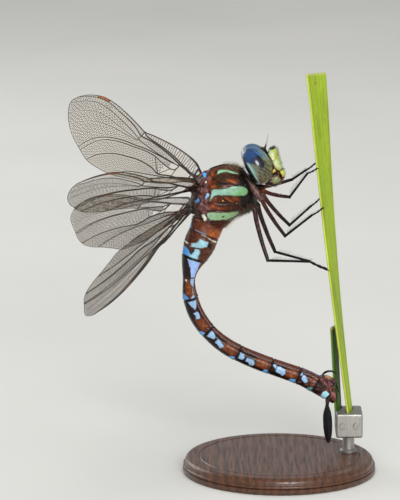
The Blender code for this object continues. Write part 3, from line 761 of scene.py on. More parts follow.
REAR_SPOTS = {
    3: ((0.95, 84), (0.83, 66), (0.9, 30), (0.96, 13), (0.98, 20), (0.98, 84)),
    4: ((0.84, 74), (0.88, 40), (0.95, 26), (0.98, 30), (0.98, 64), (0.92, 80)),
    5: ((0.8, 72), (0.87, 40), (0.96, 34), (0.97, 60), (0.94, 76)),
    6: ((0.79, 76), (0.84, 34), (0.94, 32), (0.96, 60), (0.94, 80)),
    7: ((0.69, 68), (0.77, 36), (0.94, 30), (0.95, 60), (0.93, 78)),
    8: ((0.62, 74), (0.72, 42), (0.93, 30), (0.94, 56), (0.9, 74)),
    9: ((0.66, 58), (0.56, 18), (0.66, -6), (0.9, -4), (0.95, 20), (0.93, 58)),
}
SADDLE = (
    (0.7, 88), (0.69, 44), (0.79, 27), (0.89, 15), (0.72, 6), (0.6, 6), (0.57, -6), (0.68, -12),
    (0.95, -14), (0.97, 20), (0.97, 88))
EAR_PATCH = ((0.61, 30), (0.45, 25), (0.36, 8), (0.2, 3), (0.2, -26), (0.38, -24), (0.5, -6))
WAIST_TRIANGLE = ((0.05, 26), (0.03, -36), (0.2, -44), (0.46, -52), (0.47, -14), (0.25, 0))
WAIST_SPOT = ((0.5, -14), (0.5, -52), (0.62, -46), (0.72, -34), (0.6, -10))
EAR_PIT = ((0.33, -24), (0.18, -30), (0.25, -48), (0.44, -42))
# The other marks of the first three segments: outline, strength, colour.
SEGMENT_MARKS = {
    1: (
        (((0.7, 90), (0.62, 78), (0.85, 60), (0.98, 66), (0.98, 90)), 1.0, SKY),
        (((0.88, 36), (0.88, -8), (1.0, -8), (1.0, 36)), 0.9, PALE_BLUE)),
    2: (
        (EAR_PATCH, 1.0, (148, 188, 200)),
        (((0.5, 86), (0.55, 86), (0.56, 44), (0.5, 44)), 1.0, CREAM),
        # painted lilac highlight streak high on the second segment's side
        (((0.12, 66), (0.12, 58), (0.42, 54), (0.42, 62)), 0.6, MAUVE),
        (((0.02, 4), (0.02, -10), (0.14, -44), (0.16, -70), (0.11, -70), (0.08, -40)), 0.9, CREAM)),
    3: (
        (WAIST_TRIANGLE, 1.0, (150, 180, 232)), (WAIST_SPOT, 1.0, PALE_BLUE),
        (((0.53, 44), (0.56, 44), (0.57, 20), (0.53, 20)), 1.0, CREAM),
        (((0.985, 4), (0.92, -14), (0.92, -34), (0.98, -24)), 1.0, PALE_BLUE),
        (((0.7, -34), (0.72, -28), (0.92, -20), (0.92, -25)), 0.6, CREAM)),
}
REAR_INKS = {3: SKY, 8: (84, 142, 148), 9: (156, 206, 220)}
TAIL_EDGE = ((0.3, -34), (0.45, -44), (0.95, -36), (0.95, -28), (0.5, -36))
RING_SPACING = 0.1
# Degrees around the abdomen that are one millimetre wide in its markings.
DEGREES_PER_MM = 36


def abdomen_grid():
    """Rings along the ten segments, with each ring's segment, share, upward tilt and length."""
    place = in_plane(ABDOMEN_START)
    heading = ABDOMEN_HEADING
    rings, facts = [], []
    for number, (length, bend, depths, widths) in enumerate(ABDOMEN, 1):
        profile = list(zip((0.0, 0.5, 1.0), depths, widths))
        steps = round(length / RING_SPACING)
        for k in range(-5 if number == 1 else 0, steps):
            share = k / steps
            middle = place + flat(heading + bend * share / 2) * length * share
            depth, width = through(profile, max(share, 0))
            from_joint, to_joint = share * length, (1 - share) * length
            grow = (0.05 * bell(to_joint, 0.28, 0.22) + 0.04 * bell(from_joint, 0.3, 0.18)
                    - 0.11 * bell(min(from_joint, to_joint), 0, 0.11))
            up = flat(heading + bend * share - 90)
            rings.append(oval(middle, Y_AXIS, up, width / 2 + grow, depth / 2 + grow, 132,
                              power=2.2, top=0.1, bottom=0.16))
            facts.append((number, share, up[2], length))
        place = place + flat(heading + bend / 2) * length
        heading += bend
    return np.array(rings), np.array(facts)


def segment_tint(number, share, angle, points, length):
    """One segment's colours: dark back, chestnut sides, blue spots and a black seam below, edged by
    a painted pale highlight.
    """
    places = np.stack((share * length, angle / DEGREES_PER_MM), -1)

    def mark(outline, soft=0.09, wobble=0.04, grow=0.0):
        corners = [(a * length, b / DEGREES_PER_MM) for a, b in outline]
        return patch(places, corners, soft, wobble * ripple(points, 0.6, number), grow)

    if number < 3:
        tint = paint((92, 46, 28), (0.6 * cloud(points, 1.8, 33, 0.0, 0.9), (128, 84, 70)))
        if number == 1:
            low = step(-4, -24, angle) * step(0.15, 0.5, share)
            tint = paint(tint, (0.8 * low, (160, 82, 30)))
        else:
            tint = tint * 0.45 + colour(56, 28, 18) * 0.55
        tint = paint(tint, (0.6 * cloud(points, 0.8, 37, 0.2, 0.9), (42, 20, 12)),
                     (0.22 * cloud(points, 0.6, 34, 0.5, 1.2), (170, 112, 84)),
                     (0.8 * step(44, 66, angle), DARK))
    else:
        glow = (step(0.46, 0.66, share) * step(0.96, 0.8, share) * step(-34, -16, angle)
                * step(44, 22, angle))
        belly = step(-30, -40, angle)
        top = step(28, 46, angle + 8 * ripple(points, 1.6, 32) + 16 * (0.6 - share))
        tint = paint(
            CHESTNUT,
            (step(0.62, 0.42, share) * step(-34, -26, angle) * 0.85, DARK),
            (0.85 * glow * np.clip(0.75 + 0.4 * ripple(points, 0.9, 31), 0, 1), (122, 62, 26)),
            (0.5 * glow * cloud(points, 0.7, 39, 0.3, 1.0), (156, 88, 36)),
            (0.5 * cloud(points * (1, 1, 0.5), 0.7, 38, 0.2, 1.0), DARK),
            (0.95 * top, BLACK),
            (0.9 * belly, (92, 46, 24)),
            (0.7 * belly * cloud(points, 0.8, 35, 0.0, 0.7), (40, 20, 14)),
            (0.7 * step(-66, -78, angle), (66, 44, 40)),
            (0.95 * bell(angle, -35, 4.2), BLACK),
            # painted lilac highlight along the ridge beside the black seam below
            (0.5 * bell(angle, -41, 2.6), (170, 140, 150)))
    if number in (8, 9, 10):
        tint = tint * 0.68 + colour(60, 36, 36) * 0.2
        tint = paint(tint, (0.7 * cloud(points, 0.7, 44, -0.1, 0.7), (38, 20, 20)),
                     (0.5 * cloud(points, 0.5, 45, 0.4, 1.0), (128, 88, 80)))
    if number == 2:
        blue = step(12, 30, angle)[:, None]
        tint = paint(tint, (mark(EAR_PIT), BLACK), (mark(SADDLE, grow=0.14, soft=0.08) * 0.8, DARK),
                     (mark(SADDLE), colour(*SKY) * blue + colour(148, 190, 206) * (1 - blue)))
    for outline, strength, ink in SEGMENT_MARKS.get(number, ()):
        tint = paint(tint, (strength * mark(outline), ink))
    for marks in (FRONT_TRIANGLES, SIDE_OVALS):
        if number in marks:
            tint = paint(tint, (0.8 * mark(marks[number], 0.08, 0.0, 0.12), BLACK),
                         (mark(marks[number]), PALE_BLUE))
    if number in REAR_SPOTS:
        split = step(0.1, 0.22, np.abs(points[:, 1]))
        tint = paint(tint, (mark(REAR_SPOTS[number]) * split,
                            REAR_INKS.get(number, (92, 160, 216))))
    if number in (8, 9):
        tint = paint(tint, (0.5 * step(-50, -66, angle), (96, 92, 112)),
                     (0.5 * mark(TAIL_EDGE), (140, 96, 66)))
    if number == 10:
        tint = paint(tint, (0.7 * step(30, 0, angle), (92, 52, 46)))
    close = np.minimum(share, 1 - share) * length
    ring = step(0.24, 0.12, close) if number > 2 else step(0.16, 0.08, (1 - share) * length)
    return paint(tint, (0.95 * ring, BLACK))


def add_abdomen(shell):
    """The ten segments in one skin, ringed at the joints."""
    grid, facts = abdomen_grid()
    columns = grid.shape[1]
    normals = grid_normals(grid)
    points, faces = skin(grid)
    turn = np.degrees(2 * math.pi * np.arange(columns) / columns)
    turn = np.where(turn > 180, turn - 360, turn)
    ring_angle = np.where(np.abs(turn) > 90, np.sign(turn) * 180 - turn, turn)
    angle = np.tile(ring_angle, len(grid))
    number, share, lift, length = np.repeat(facts, columns, axis=0).T
    relief = (-0.07 * bell(angle, -36, 5) + 0.07 * bell(angle, 90, 3.5)
              + 0.05 * bell(angle, -44, 4)) * step(2.5, 3, number)
    relief -= 0.05 * bell(share * length, 2.6, 0.12) * (number == 2)
    relief += 0.35 * bell(share, 0.34, 0.13) * bell(angle, -8, 16) * (number == 2)
    relief += 0.012 * ripple(points, 0.8, 36)
    points = points + normals.reshape(-1, 3) * relief[:, None]
    seen = angle - lift * math.degrees(math.atan(FALL)) * np.cos(np.radians(angle))
    tint = np.zeros_like(points)
    for segment, (segment_length, *_) in enumerate(ABDOMEN, 1):
        here = number == segment
        tint[here] = segment_tint(segment, share[here], seen[here], points[here], segment_length)
    make_piece("abdomen_skin", points, faces, shell, "brown_cuticle",
               [f"abdomen_{k:02d}" for k in range(1, 11)], tint)
    return grid, normals


# ---------------------------- tail

# The plates under the ninth segment that carry the ovipositor: route and radii of each.
VALVES = (
    (
        ((6.6, 0.3, 18.35), (7.3, 0.42, 18.0), (8.0, 0.5, 17.55), (8.7, 0.52, 17.0)),
        (0.1, 0.34, 0.46, 0.2)),
    (
        ((7.6, 0.62, 17.4), (8.4, 0.68, 17.0), (9.1, 0.62, 16.35), (9.7, 0.5, 15.5)),
        (0.22, 0.52, 0.56, 0.26)),
    (
        ((8.4, 0.36, 17.3), (9.2, 0.44, 17.0), (9.9, 0.4, 16.3), (10.1, 0.3, 15.5)),
        (0.25, 0.46, 0.44, 0.22)),
    (
        ((9.3, 0.45, 15.6), (9.9, 0.5, 15.0), (10.35, 0.45, 14.4), (10.4, 0.32, 13.9)),
        (0.25, 0.46, 0.48, 0.26)),
)
# Where the ovipositor's blades spring from, their radii, and the props at their roots.
BLADE_START = ((7.25, 0.34, 17.75), (7.5, 0.24, 18.15))
BLADE_RADII = (0.12, 0.15, 0.17, 0.19, 0.2, 0.19, 0.17, 0.15, 0.12, 0.05)
PROP = ((7.7, 0.4, 17.5), (7.85, 0.34, 18.1), (8.2, 0.2, 18.75), (8.6, 0.14, 19.1))
# A cercus: its relative width at shares of its length, and the route of its stem.
CERCUS_TAPER = (
    (0, 0.3), (0.1, 0.42), (0.3, 0.92), (0.5, 1.0), (0.72, 0.92), (0.88, 0.66), (0.97, 0.34),
    (1.0, 0.16))
CERCUS_STEM = ((9.35, 0.45, 14.6), (9.1, 0.6, 13.9), (8.97, 0.72, 13.2), (8.98, 0.74, 12.6))


def add_ovipositor(dark):
    """The ovipositor's two curved blades, with a prop at the root of each."""
    path, heading, steps = [in_plane(OVIPOSITOR_ROOT)], 52.0, 7
    for _ in range(steps):
        path.append(path[-1] + flat(heading) * OVIPOSITOR_LENGTH / steps)
        heading -= 15.0
    parts = []
    for side in (-1, 1):
        route = mirrored(BLADE_START, side) + [point + Y_AXIS * side * 0.09 for point in path]
        parts += [limb(route, BLADE_RADII, 14, 70),
                  limb(mirrored(PROP, side), (0.13, 0.14, 0.12, 0.06), 12, 30)]
    points, faces = joined(parts)
    base = step(8.5, 8.1, points[:, 0])
    make_piece("ovipositor_blades", points, faces, dark, "black_cuticle", ["ovipositor"],
               paint(BLACK, (0.6 * base * cloud(points, 0.6, 42, 0.2, 0.9), (150, 150, 160))))


def add_sheath(shell):
    """The ovipositor's sheath, its two styli and the plates that carry it."""
    low, high, end = in_plane(SHEATH[0]), in_plane(SHEATH[1]), in_plane(STYLUS_END)
    lobes = []
    for side in (-1, 1):
        off = Y_AXIS * side * 0.26
        lobe = [low - (1.2, 0, 0.45) + off, low - (0.35, 0, 0.05) + off,
                low + (high - low) * 0.35 + off, high + off * 0.8,
                high + (end - high) * 0.14 + off * 0.7]
        stylus = [high + (end - high) * 0.06 + off, high + (end - high) * 0.5 + off,
                  end + off * 0.9]
        lobes += [limb(lobe, (0.2, 0.45, 0.5, 0.36, 0.12), 24, 60),
                  limb(stylus, (0.14, 0.11, 0.08), 12, 30)]
        lobes += [limb(mirrored(route, side), radii, 28, 60) for route, radii in VALVES]
    points, faces = joined(lobes)
    places = points[:, (0, 2)]
    x, z = places.T
    make_piece("ovipositor_lobes", points, faces, shell, "brown_cuticle", ["ovipositor_sheath"],
               paint((88, 52, 50),
                     (0.9 * cloud(points, 0.6, 41, -0.1, 0.6), (34, 18, 20)),
                     (0.6 * cloud(points, 0.4, 43, 0.4, 1.1), (150, 104, 98)),
                     (0.7 * spot(places, (9.3, 18.25), 0.9, 0.22, -12, 0.5), (190, 150, 100)),
                     (0.8 * spot(places, (10.2, 17.1), 0.5, 0.35, -30, 0.5), (46, 42, 48)),
                     (0.6 * step(15.6, 15.0, z), (150, 92, 80)),
                     (step(10.45, 10.6, x) * step(17.0, 16.6, z), BLACK)))


def add_cerci(dark):
    """The two leaf-like cerci, keeled along the middle, on their short stems."""
    count = 64
    angle = 2 * math.pi * np.arange(count) / count
    keel = 0.1 * bell(np.cos(angle), 0, 0.16) * np.sign(np.sin(angle))
    for side, name in ((1, "cercus_left"), (-1, "cercus_right")):
        across, out = unit(np.array((1, 0.25 * side, 0))), unit(np.array((-0.25 * side, 1, 0)))
        rings = []
        for share in np.linspace(0, 1, 110):
            root = np.array((CERCUS_ROOT[0] + 0.22 * share, side * (0.72 + 0.35 * share),
                             CERCUS_ROOT[1] - CERCUS_LENGTH * share))
            ring = oval(root, across, out, through(CERCUS_TAPER, share)[0] * CERCUS_WIDTH / 2,
                        0.16 + 0.1 * (1 - share), count)
            rings.append(ring + np.outer(keel * math.sin(math.pi * min(share * 1.1, 1)), out))
        points, faces = joined([skin(rings), limb(mirrored(CERCUS_STEM, side),
                                                  (0.42, 0.4, 0.34, 0.2), 24, 40)])
        make_piece(f"{name}_blade", points, faces, dark, "black_cuticle", [name],
                   paint(BLACK, (0.5 * step(12.2, 13.6, points[:, 2]), (58, 40, 34))))


# ---------------------------- head

# The head's own axes.
FORWARD, UPWARD = flat(HEAD_PITCH), flat(HEAD_PITCH + 90)
# Level slices of the face, the lip and the jaws for face_rings(), from top to bottom.
FACE = (
    (1.3, 3.6, 3.95, 0.35), (1.22, 3.35, 4.25, 0.95), (0.95, 3.1, 4.52, 1.42),
    (0.55, 2.6, 4.72, 1.75), (-0.2, 0.9, 4.6, 2.0), (-0.85, 0.5, 4.35, 2.15),
    (-2.0, 0.5, 4.1, 2.3), (-2.95, 0.5, 3.8, 2.1), (-3.15, 0.8, 3.5, 1.8))
LABRUM = (
    (-3.15, 2.7, 3.7, 1.65), (-3.4, 2.65, 3.88, 1.8), (-3.9, 2.65, 3.88, 1.8),
    (-4.5, 2.5, 3.5, 1.4), (-4.95, 2.4, 3.0, 0.8), (-5.02, 2.5, 2.8, 0.4))
MOUTH = (
    (-3.0, -0.3, 2.95, 1.6), (-3.9, -0.6, 3.05, 1.95), (-4.6, -0.1, 2.85, 1.8),
    (-5.2, 0.5, 2.3, 1.2), (-5.42, 0.9, 1.8, 0.6))
# Rings of the back of the head and of its core for head_rings().
CAPSULE_BACK = (
    (-2.12, -0.5, 0.8, 1.0), (-2.02, -0.4, 1.3, 1.8), (-1.86, -0.2, 1.9, 2.6),
    (-1.66, 0.0, 2.4, 3.1), (-1.45, 0.0, 2.5, 3.2))
CAPSULE_CORE = (
    (-1.9, -0.6, 2.4, 1.1), (0.0, -0.4, 2.2, 1.1), (1.6, 0.6, 1.4, 1.0), (2.5, 1.15, 0.8, 0.85),
    (2.9, 1.2, 0.4, 0.5))
# Face markings as (forwards, upwards) in the head's axes.
FRONS_SEAM = ((2.6, -1.45), (2.95, -1.2), (3.57, -0.95), (4.15, -0.62), (4.85, 0.02))
FRONS = (
    (2.7, 0.5), (3.3, 1.4), (4.9, 1.45), (5.1, 0.3), (4.75, -0.1), (4.1, -0.5), (3.5, -0.82),
    (2.86, -1.06))
FRONS_MIDDLE = (
    (2.9, 0.4), (3.35, 0.95), (4.2, 0.75), (4.6, 0.35), (4.2, -0.3), (3.5, -0.66), (2.98, -0.86))
CLYPEUS = (
    (2.72, -1.35), (2.98, -1.02), (3.62, -0.82), (4.45, -0.48), (4.55, -0.9), (4.36, -1.9),
    (4.02, -3.05), (3.6, -3.3), (3.02, -3.28), (2.58, -2.72), (2.6, -2.0))
CHEEK = ((1.94, -2.62), (2.3, -2.6), (2.34, -3.05), (1.62, -3.05))
BROW_SPOT = ((3.35, 0.86), (3.45, 1.7), (4.9, 1.6), (4.72, 0.82), (4.06, 0.66))
JAW = ((0.6, -4.15), (1.4, -3.72), (2.2, -3.9), (2.42, -4.9), (1.65, -5.3), (0.7, -4.95))
# The three small eyes: place in the head's axes and radius.
OCELLI = (((2.55, 0.0, 1.95), 0.2), ((2.15, 0.42, 2.26), 0.15), ((2.15, -0.42, 2.26), 0.15))


def head_point(forward, sideways, upward):
    """A point of the head, whose axes are pitched up from the horizontal."""
    return in_plane(HEAD_CENTRE) + FORWARD * forward + Y_AXIS * sideways + UPWARD * upward


def head_places(points):
    """Where points lie on the side of the head: forwards and upwards in the head's own axes."""
    side = side_places(points) - HEAD_CENTRE
    return np.stack((side @ FORWARD[[0, 2]], side @ UPWARD[[0, 2]]), -1)


def head_rings(stations, count, rows):
    """Rings of the head across its forward axis: forward, middle, half height, half width."""
    return np.array([oval(head_point(forward, 0, middle), Y_AXIS, UPWARD, half_side, half_up,
                          count) for forward, middle, half_up, half_side in curve(stations, rows)])


def face_rings(stations, count, rows):
    """Level slices of the face: height, back, front and half width of each."""
    return np.array([oval(head_point((back + front) / 2, 0, height), Y_AXIS, FORWARD, half_side,
                          (front - back) / 2, count, 2.6)
                     for height, back, front, half_side in curve(stations, rows)])


def add_face(finish):
    """The brow and the face plates, parted by their seams."""
    grid = face_rings(FACE, 220, 200)
    points, faces = skin(grid)
    places = head_places(points)
    forward, upward = places.T
    relief = 0.1 * patch(places, CLYPEUS, 0.3) + 0.1 * step(-0.9, 0.2, upward)
    relief -= 0.13 * bell(from_line(places, FRONS_SEAM)[0], 0, 0.12)
    relief -= 0.06 * bell(upward, -2.2, 0.1) * step(3.2, 3.7, forward)
    points = points + grid_normals(grid).reshape(-1, 3) * (relief - 0.05)[:, None]
    wobble = 0.03 * ripple(points, 0.5, 51)
    line = bell(upward, -2.2, 0.07) * (forward > 3.4) * (np.abs(points[:, 1]) < 1.5)
    make_piece("face_plates", points, faces, finish, "pale_cuticle", ["face"], paint(
        (34, 16, 8),
        (patch(places, FRONS, 0.05, wobble), (178, 164, 58)),
        (patch(places, FRONS_MIDDLE, 0.12, wobble), (150, 166, 88)),
        # painted pale highlight in the middle of the brow plate
        (0.75 * spot(places, (3.2, 0.1), 0.36, 0.75, 0, 0.7), (196, 208, 168)),
        (patch(places, CLYPEUS, 0.05, wobble, 0.06), (166, 136, 46)),
        (patch(places, CLYPEUS, 0.09, wobble, -0.08), (152, 166, 90)),
        (0.75 * spot(places, (3.2, -1.9), 0.45, 0.95, 12, 0.8), (182, 196, 152)),
        (patch(places, CHEEK, 0.06, wobble), (196, 178, 84)),
        (patch(places, BROW_SPOT, 0.07, wobble), BLACK),
        (0.4 * line, (110, 90, 40))))


def add_mouth(finish):
    """The lip and the jaws."""
    points, faces = skin(face_rings(LABRUM, 150, 110))
    forward, upward = head_places(points).T
    notch = bell(points[:, 1], 0, 0.18) * step(-4.2, -3.6, upward)
    make_piece("labrum_plate", points, faces, finish, "pale_cuticle", ["labrum"], paint(
        (164, 174, 78),
        (step(-3.46, -3.34, upward), (90, 50, 20)),
        (step(-4.45, -4.75, upward), (96, 56, 22)),
        (step(2.98, 2.78, forward), (86, 44, 20)),
        (0.7 * notch, (120, 84, 36))))
    grid = face_rings(MOUTH, 190, 150)
    points, faces = skin(grid)
    places = head_places(points)
    groove = -0.08 * bell(from_line(places, JAW, closed=True)[0], 0, 0.12)
    points = points + grid_normals(grid).reshape(-1, 3) * groove[:, None]
    make_piece("jaws", points, faces, finish, "pale_cuticle", ["mouthparts"], paint(
        (36, 18, 9),
        (spot(places, (2.62, -3.5), 0.22, 0.32, 0, 0.5), (176, 84, 22)),
        (patch(places, JAW, 0.05), (132, 84, 34)),
        (patch(places, JAW, 0.12, grow=-0.12), (112, 120, 80)),
        (0.9 * step(-5.0, -5.3, places[:, 1]), (44, 26, 16))))


def add_head_back(dark):
    """The dark back of the head and the core between the eyes."""
    points, faces = joined((skin(head_rings(CAPSULE_BACK, 110, 60)),
                            skin(head_rings(CAPSULE_CORE, 80, 80))))
    forward, upward = head_places(points).T
    crown = (upward > 1.5) & (np.abs(points[:, 1]) < 0.8) & (forward > 1.2)
    make_piece("head_back", points, faces, dark, "black_cuticle", ["head"], paint(
        BLACK, (0.5 * cloud(points, 0.9, 52, 0.3, 1.0), (60, 44, 26)),
        (0.7 * crown, (40, 34, 20))))


def add_crown(shell, dark):
    """The bump between the eyes, its three ocelli, the small plate behind and the antennae."""
    ocelli = joined([bead(head_point(*place), (size, size, size)) for place, size in OCELLI])
    make_piece("ocelli", *ocelli, shell, "pale_cuticle", tint=(96, 104, 112))
    hump = bead(head_point(2.15, 0, 1.85), (0.62, 0.72, 0.52), 40)
    make_piece("crown", *hump, dark, "black_cuticle",
               tint=paint(BLACK, (0.6 * cloud(hump[0], 0.7, 53, 0.3, 0.9), (96, 76, 40))))
    plate = bead(head_point(-1.42, 0, 2.92), (0.2, 0.3, 0.2), 30)
    make_piece("nape_plate", *plate, shell, "pale_cuticle", tint=(186, 184, 150))
    for side, name in ((1, "antenna_left"), (-1, "antenna_right")):
        root, bend, tip = mirrored(ANTENNA, side)
        route = (root - (0.25, side * 0.1, 0.55), root, root * 0.5 + bend * 0.5, bend, tip)
        hair_line = limb(route, (0.15, 0.11, 0.035, 0.022, 0.012), 14, 80)
        make_piece(f"{name}_hair", *hair_line, dark, "black_cuticle", [name], BLACK)


# How softly an eye flattens at its back, and half the gap between the two eyes.
EYE_ROUNDING = 0.13
EYE_GAP = 0.02
# Zones and spots of the eye as (forwards, upwards) in the head's axes.
NAVY_ZONE = (
    (-1.9, 3.3), (-0.54, 3.35), (0.58, 2.75), (1.12, 1.9), (1.3, 0.3), (1.16, -1.0),
    (0.55, -1.42), (-0.1, -0.72), (-0.62, 0.16), (-1.26, 0.8), (-1.9, 1.35))
# Lighter clouds in the navy bay and bands along the eye's front edge: strength, ellipse, colour.
NAVY_GLOWS = (
    (0.95, ((-0.4, 2.15), 1.35, 0.85, -24, 0.6), (28, 66, 112)),
    (0.8, ((-1.1, 1.25), 0.65, 0.55, -40, 0.7), (28, 62, 106)),
    (0.5, ((-0.35, 0.65), 0.55, 0.45, -40, 0.8), (26, 40, 80)))
FRONT_BANDS = (
    (0.9, ((1.02, 1.55), 0.11, 0.8, 18, 0.6), (58, 108, 172)),
    (0.8, ((1.34, 1.25), 0.09, 0.95, 16, 0.6), (18, 26, 34)),
    (0.6, ((1.55, 1.2), 0.06, 0.8, 16, 0.6), (96, 140, 164)),
    (0.7, ((1.74, 0.95), 0.08, 1.0, 15, 0.6), (30, 44, 46)))
EYE_SPOTS = (
    (1.49, -0.61, 0.15, 0.5), (1.06, -2.0, 0.17, 0.5), (0.06, -1.4, 0.24, 0.5),
    (1.8, -1.6, 0.11, 0.48), (2.05, -0.75, 0.09, 0.45), (0.62, -2.2, 0.15, 0.46),
    (1.42, -1.4, 0.12, 0.46), (1.46, -2.6, 0.14, 0.34), (-0.45, -1.8, 0.16, 0.4),
    (0.16, -2.55, 0.16, 0.36), (0.85, -2.95, 0.18, 0.26), (-0.75, -2.45, 0.16, 0.26),
    (0.34, -1.9, 0.1, 0.4), (0.8, -1.55, 0.1, 0.36))


def eye_tint(points):
    """Blue above with a navy bay below it, a pale rear edge and a blotched olive lower half."""
    places = head_places(points)
    f, u = places.T
    middle = step(0.9, -0.6, u + 0.9 * f) * step(-2.6, -0.9, u)
    rear = step(-0.95, -1.4, f + 0.1 * u) * step(-2.6, -1.0, u) * step(1.9, 0.9, u)
    rim = step(1.2, 1.6, f + 0.02 * u)
    navy = patch(places, NAVY_ZONE, 0.2, 0.06 * ripple(points, 0.9, 61))
    return paint(
        (98, 94, 68),
        (0.7 * step(-2.0, -3.3, u + 0.2 * ripple(points, 1.2, 62)), (76, 60, 38)),
        (0.55 * middle, (88, 100, 86)),
        (0.9 * rear, (112, 150, 148)),
        (0.8 * step(-1.26, -1.46, f) * step(3.0, 2.0, u), (140, 180, 180)),
        (0.8 * rim * step(-3.4, -2.2, u), (122, 126, 84)),
        (0.85 * rim * step(-0.9, 0.9, u), (74, 116, 134)),
        (0.9 * step(2.3, 2.8, u + 0.42 * f), (40, 82, 122)),
        (navy, (11, 15, 30)),
        *((strength * navy * spot(places, *zone), ink) for strength, zone, ink in NAVY_GLOWS),
        *((strength * spot(places, *zone), ink) for strength, zone, ink in FRONT_BANDS),
        (0.5 * step(-0.9, -1.6, u) * cloud(points, 0.5, 66, 0.0, 0.8), (132, 116, 76)),
        *((0.9 * spot(places, place, wide, high, 16, 0.8), (32, 25, 16))
          for *place, wide, high in EYE_SPOTS),
        (0.45 * step(-0.6, -2.6, u) * cloud(points, 0.6, 64, 0.25, 0.95), (56, 48, 30)),
        (0.95 * step(-1.56, -1.68, f), BLACK),
        (spot(places, (-1.16, 3.1), 0.12, 0.16, 30, 0.4), CREAM))


def add_eyes(finish):
    """Each eye an ellipsoid, flat where it meets its neighbour and the back of the head."""
    rows, columns, pole = 190, 260, 0.01
    lean = np.linspace(pole, math.pi - pole, rows)[:, None]
    turn = (2 * math.pi * np.arange(columns) / columns)[None, :]
    forward = np.sin(lean) * np.cos(turn) * EYE_HALF[0]
    forward = EYE_BACK + EYE_ROUNDING * np.log1p(np.exp((forward - EYE_BACK) / EYE_ROUNDING))
    sideways = np.maximum(np.sin(lean) * np.sin(turn) * EYE_HALF[1] + EYE_OFFSET, EYE_GAP)
    upward = np.cos(lean) * EYE_HALF[2] * np.ones_like(turn)
    for side, name in ((1, "eye_left"), (-1, "eye_right")):
        points, faces = skin(in_plane(HEAD_CENTRE) + forward[..., None] * FORWARD
                             + side * sideways[..., None] * Y_AXIS + upward[..., None] * UPWARD)
        if side > 0:
            faces = [block[:, ::-1] for block in faces]
        make_piece(f"{name}_facets", points, faces, finish, "compound_eye", [name],
                   eye_tint(points))


# ---------------------------- legs

LEG_COUNT = 6
# The foot's three joints: share of its length, and its radius there.
FOOT_STATIONS = (
    (0.03, 0.8), (0.28, 1.0), (0.31, 0.62), (0.62, 1.0), (0.65, 0.62), (0.94, 0.95), (1.0, 0.6))


def leg_tint(share, points, pair):
    """Dark thighs, redder at the root of the fore pair, a pale brown mid hip, black shins."""
    hip = step(0.19, 0.15, share)
    root_layers = {
        "fore": ((0.8 * step(0.34, 0.2, share), (104, 50, 26)),
                 # the fore hips painted black: painted shade from the head above them
                 (0.9 * step(0.16, 0.12, share), BLACK)),
        "mid": ((0.5 * step(0.32, 0.18, share), (96, 52, 42)),
                (0.9 * hip, (98, 70, 64)),
                (0.6 * hip * cloud(points, 0.9, 73, 0.1, 0.7), (146, 116, 106)),
                (0.7 * hip * cloud(points, 0.6, 74, 0.0, 0.8), (46, 30, 28)),
                (0.95 * step(0.06, 0.01, share), (26, 16, 14))),
        "hind": ((0.7 * step(0.2, 0.12, share), (40, 26, 22)),),
    }
    return paint((48, 28, 26),
                 (0.8 * cloud(points, 1.1, 71, 0.0, 0.7), (22, 14, 14)),
                 (0.5 * cloud(points, 0.9, 72, 0.4, 1.0), (92, 58, 54)),
                 *root_layers[pair],
                 (0.8 * step(0.34, 0.46, share), BLACK),
                 (step(0.47, 0.5, share), BLACK))


def leg_route(inner, hip, knee, ankle, toe, radii):
    """The thigh, the shin and the foot, each as points with their radii."""
    thigh, shin, foot = radii
    out = unit(np.cross(unit(np.cross(knee - hip, ankle - knee)), knee - hip)) * -0.18

    def along(start, end, stations, radius):
        return [(start * (1 - share) + end * share + shift, radius * wide)
                for share, wide, shift in stations]

    thighs = (along(inner, hip, ((0, 1.1, 0), (0.6, 1.6, 0)), thigh)
              + along(hip, knee, ((0, 1.25, 0), (0.07, 1.05, 0), (0.28, 1, out), (0.65, 0.9, out),
                                  (0.93, 0.8, 0), (1, 0.7, 0)), thigh))
    shins = along(knee, ankle, ((0, 0.75, 0), (0.1, 1, 0), (0.6, 0.86, 0), (0.97, 0.92, 0),
                                (1, 0.7, 0)), shin)
    sag = np.array((0, 0, -0.12))
    feet = along(ankle, toe, [(share, wide, sag * math.sin(math.pi * share))
                              for share, wide in FOOT_STATIONS], foot)
    return thighs, shins, feet


def leg_parts(joints, pair):
    """A leg's parts with how far each point lies along the leg, from 0 to 1."""
    inner, hip, knee, ankle, toe = joints
    parts = []
    for route, low, high, rows in zip(leg_route(*joints, LEG_RADII[pair]), (0.0, 0.5, 0.8),
                                      (0.5, 0.8, 1.0), (90, 60, 60)):
        sides = 22
        parts.append((limb(*zip(*route), sides, rows),
                      np.repeat(np.linspace(low, high, rows), sides)))
    parts.append((bead(knee, (0.29, 0.29, 0.29), 20), 0.5))
    if pair == "mid":
        parts += [(bead(inner, (0.44, 0.44, 0.44)), 0.0), (bead(hip, (0.62, 0.56, 0.6), 28), 0.13)]
    heading = unit(toe - ankle)
    for turn in (-1, 1):
        spread = unit(np.cross(heading, (0, 0, 1))) * turn
        claw = [toe - heading * 0.05, toe + heading * 0.28 + spread * 0.16,
                toe + heading * 0.46 + spread * 0.26 + (0, 0, -0.16 * turn)]
        parts.append((limb(claw, (0.1, 0.075, 0.02), 10, 20), 1.0))
    shares = [np.broadcast_to(share, len(part[0])) for part, share in parts]
    return joined([part for part, _ in parts]), np.concatenate(shares)


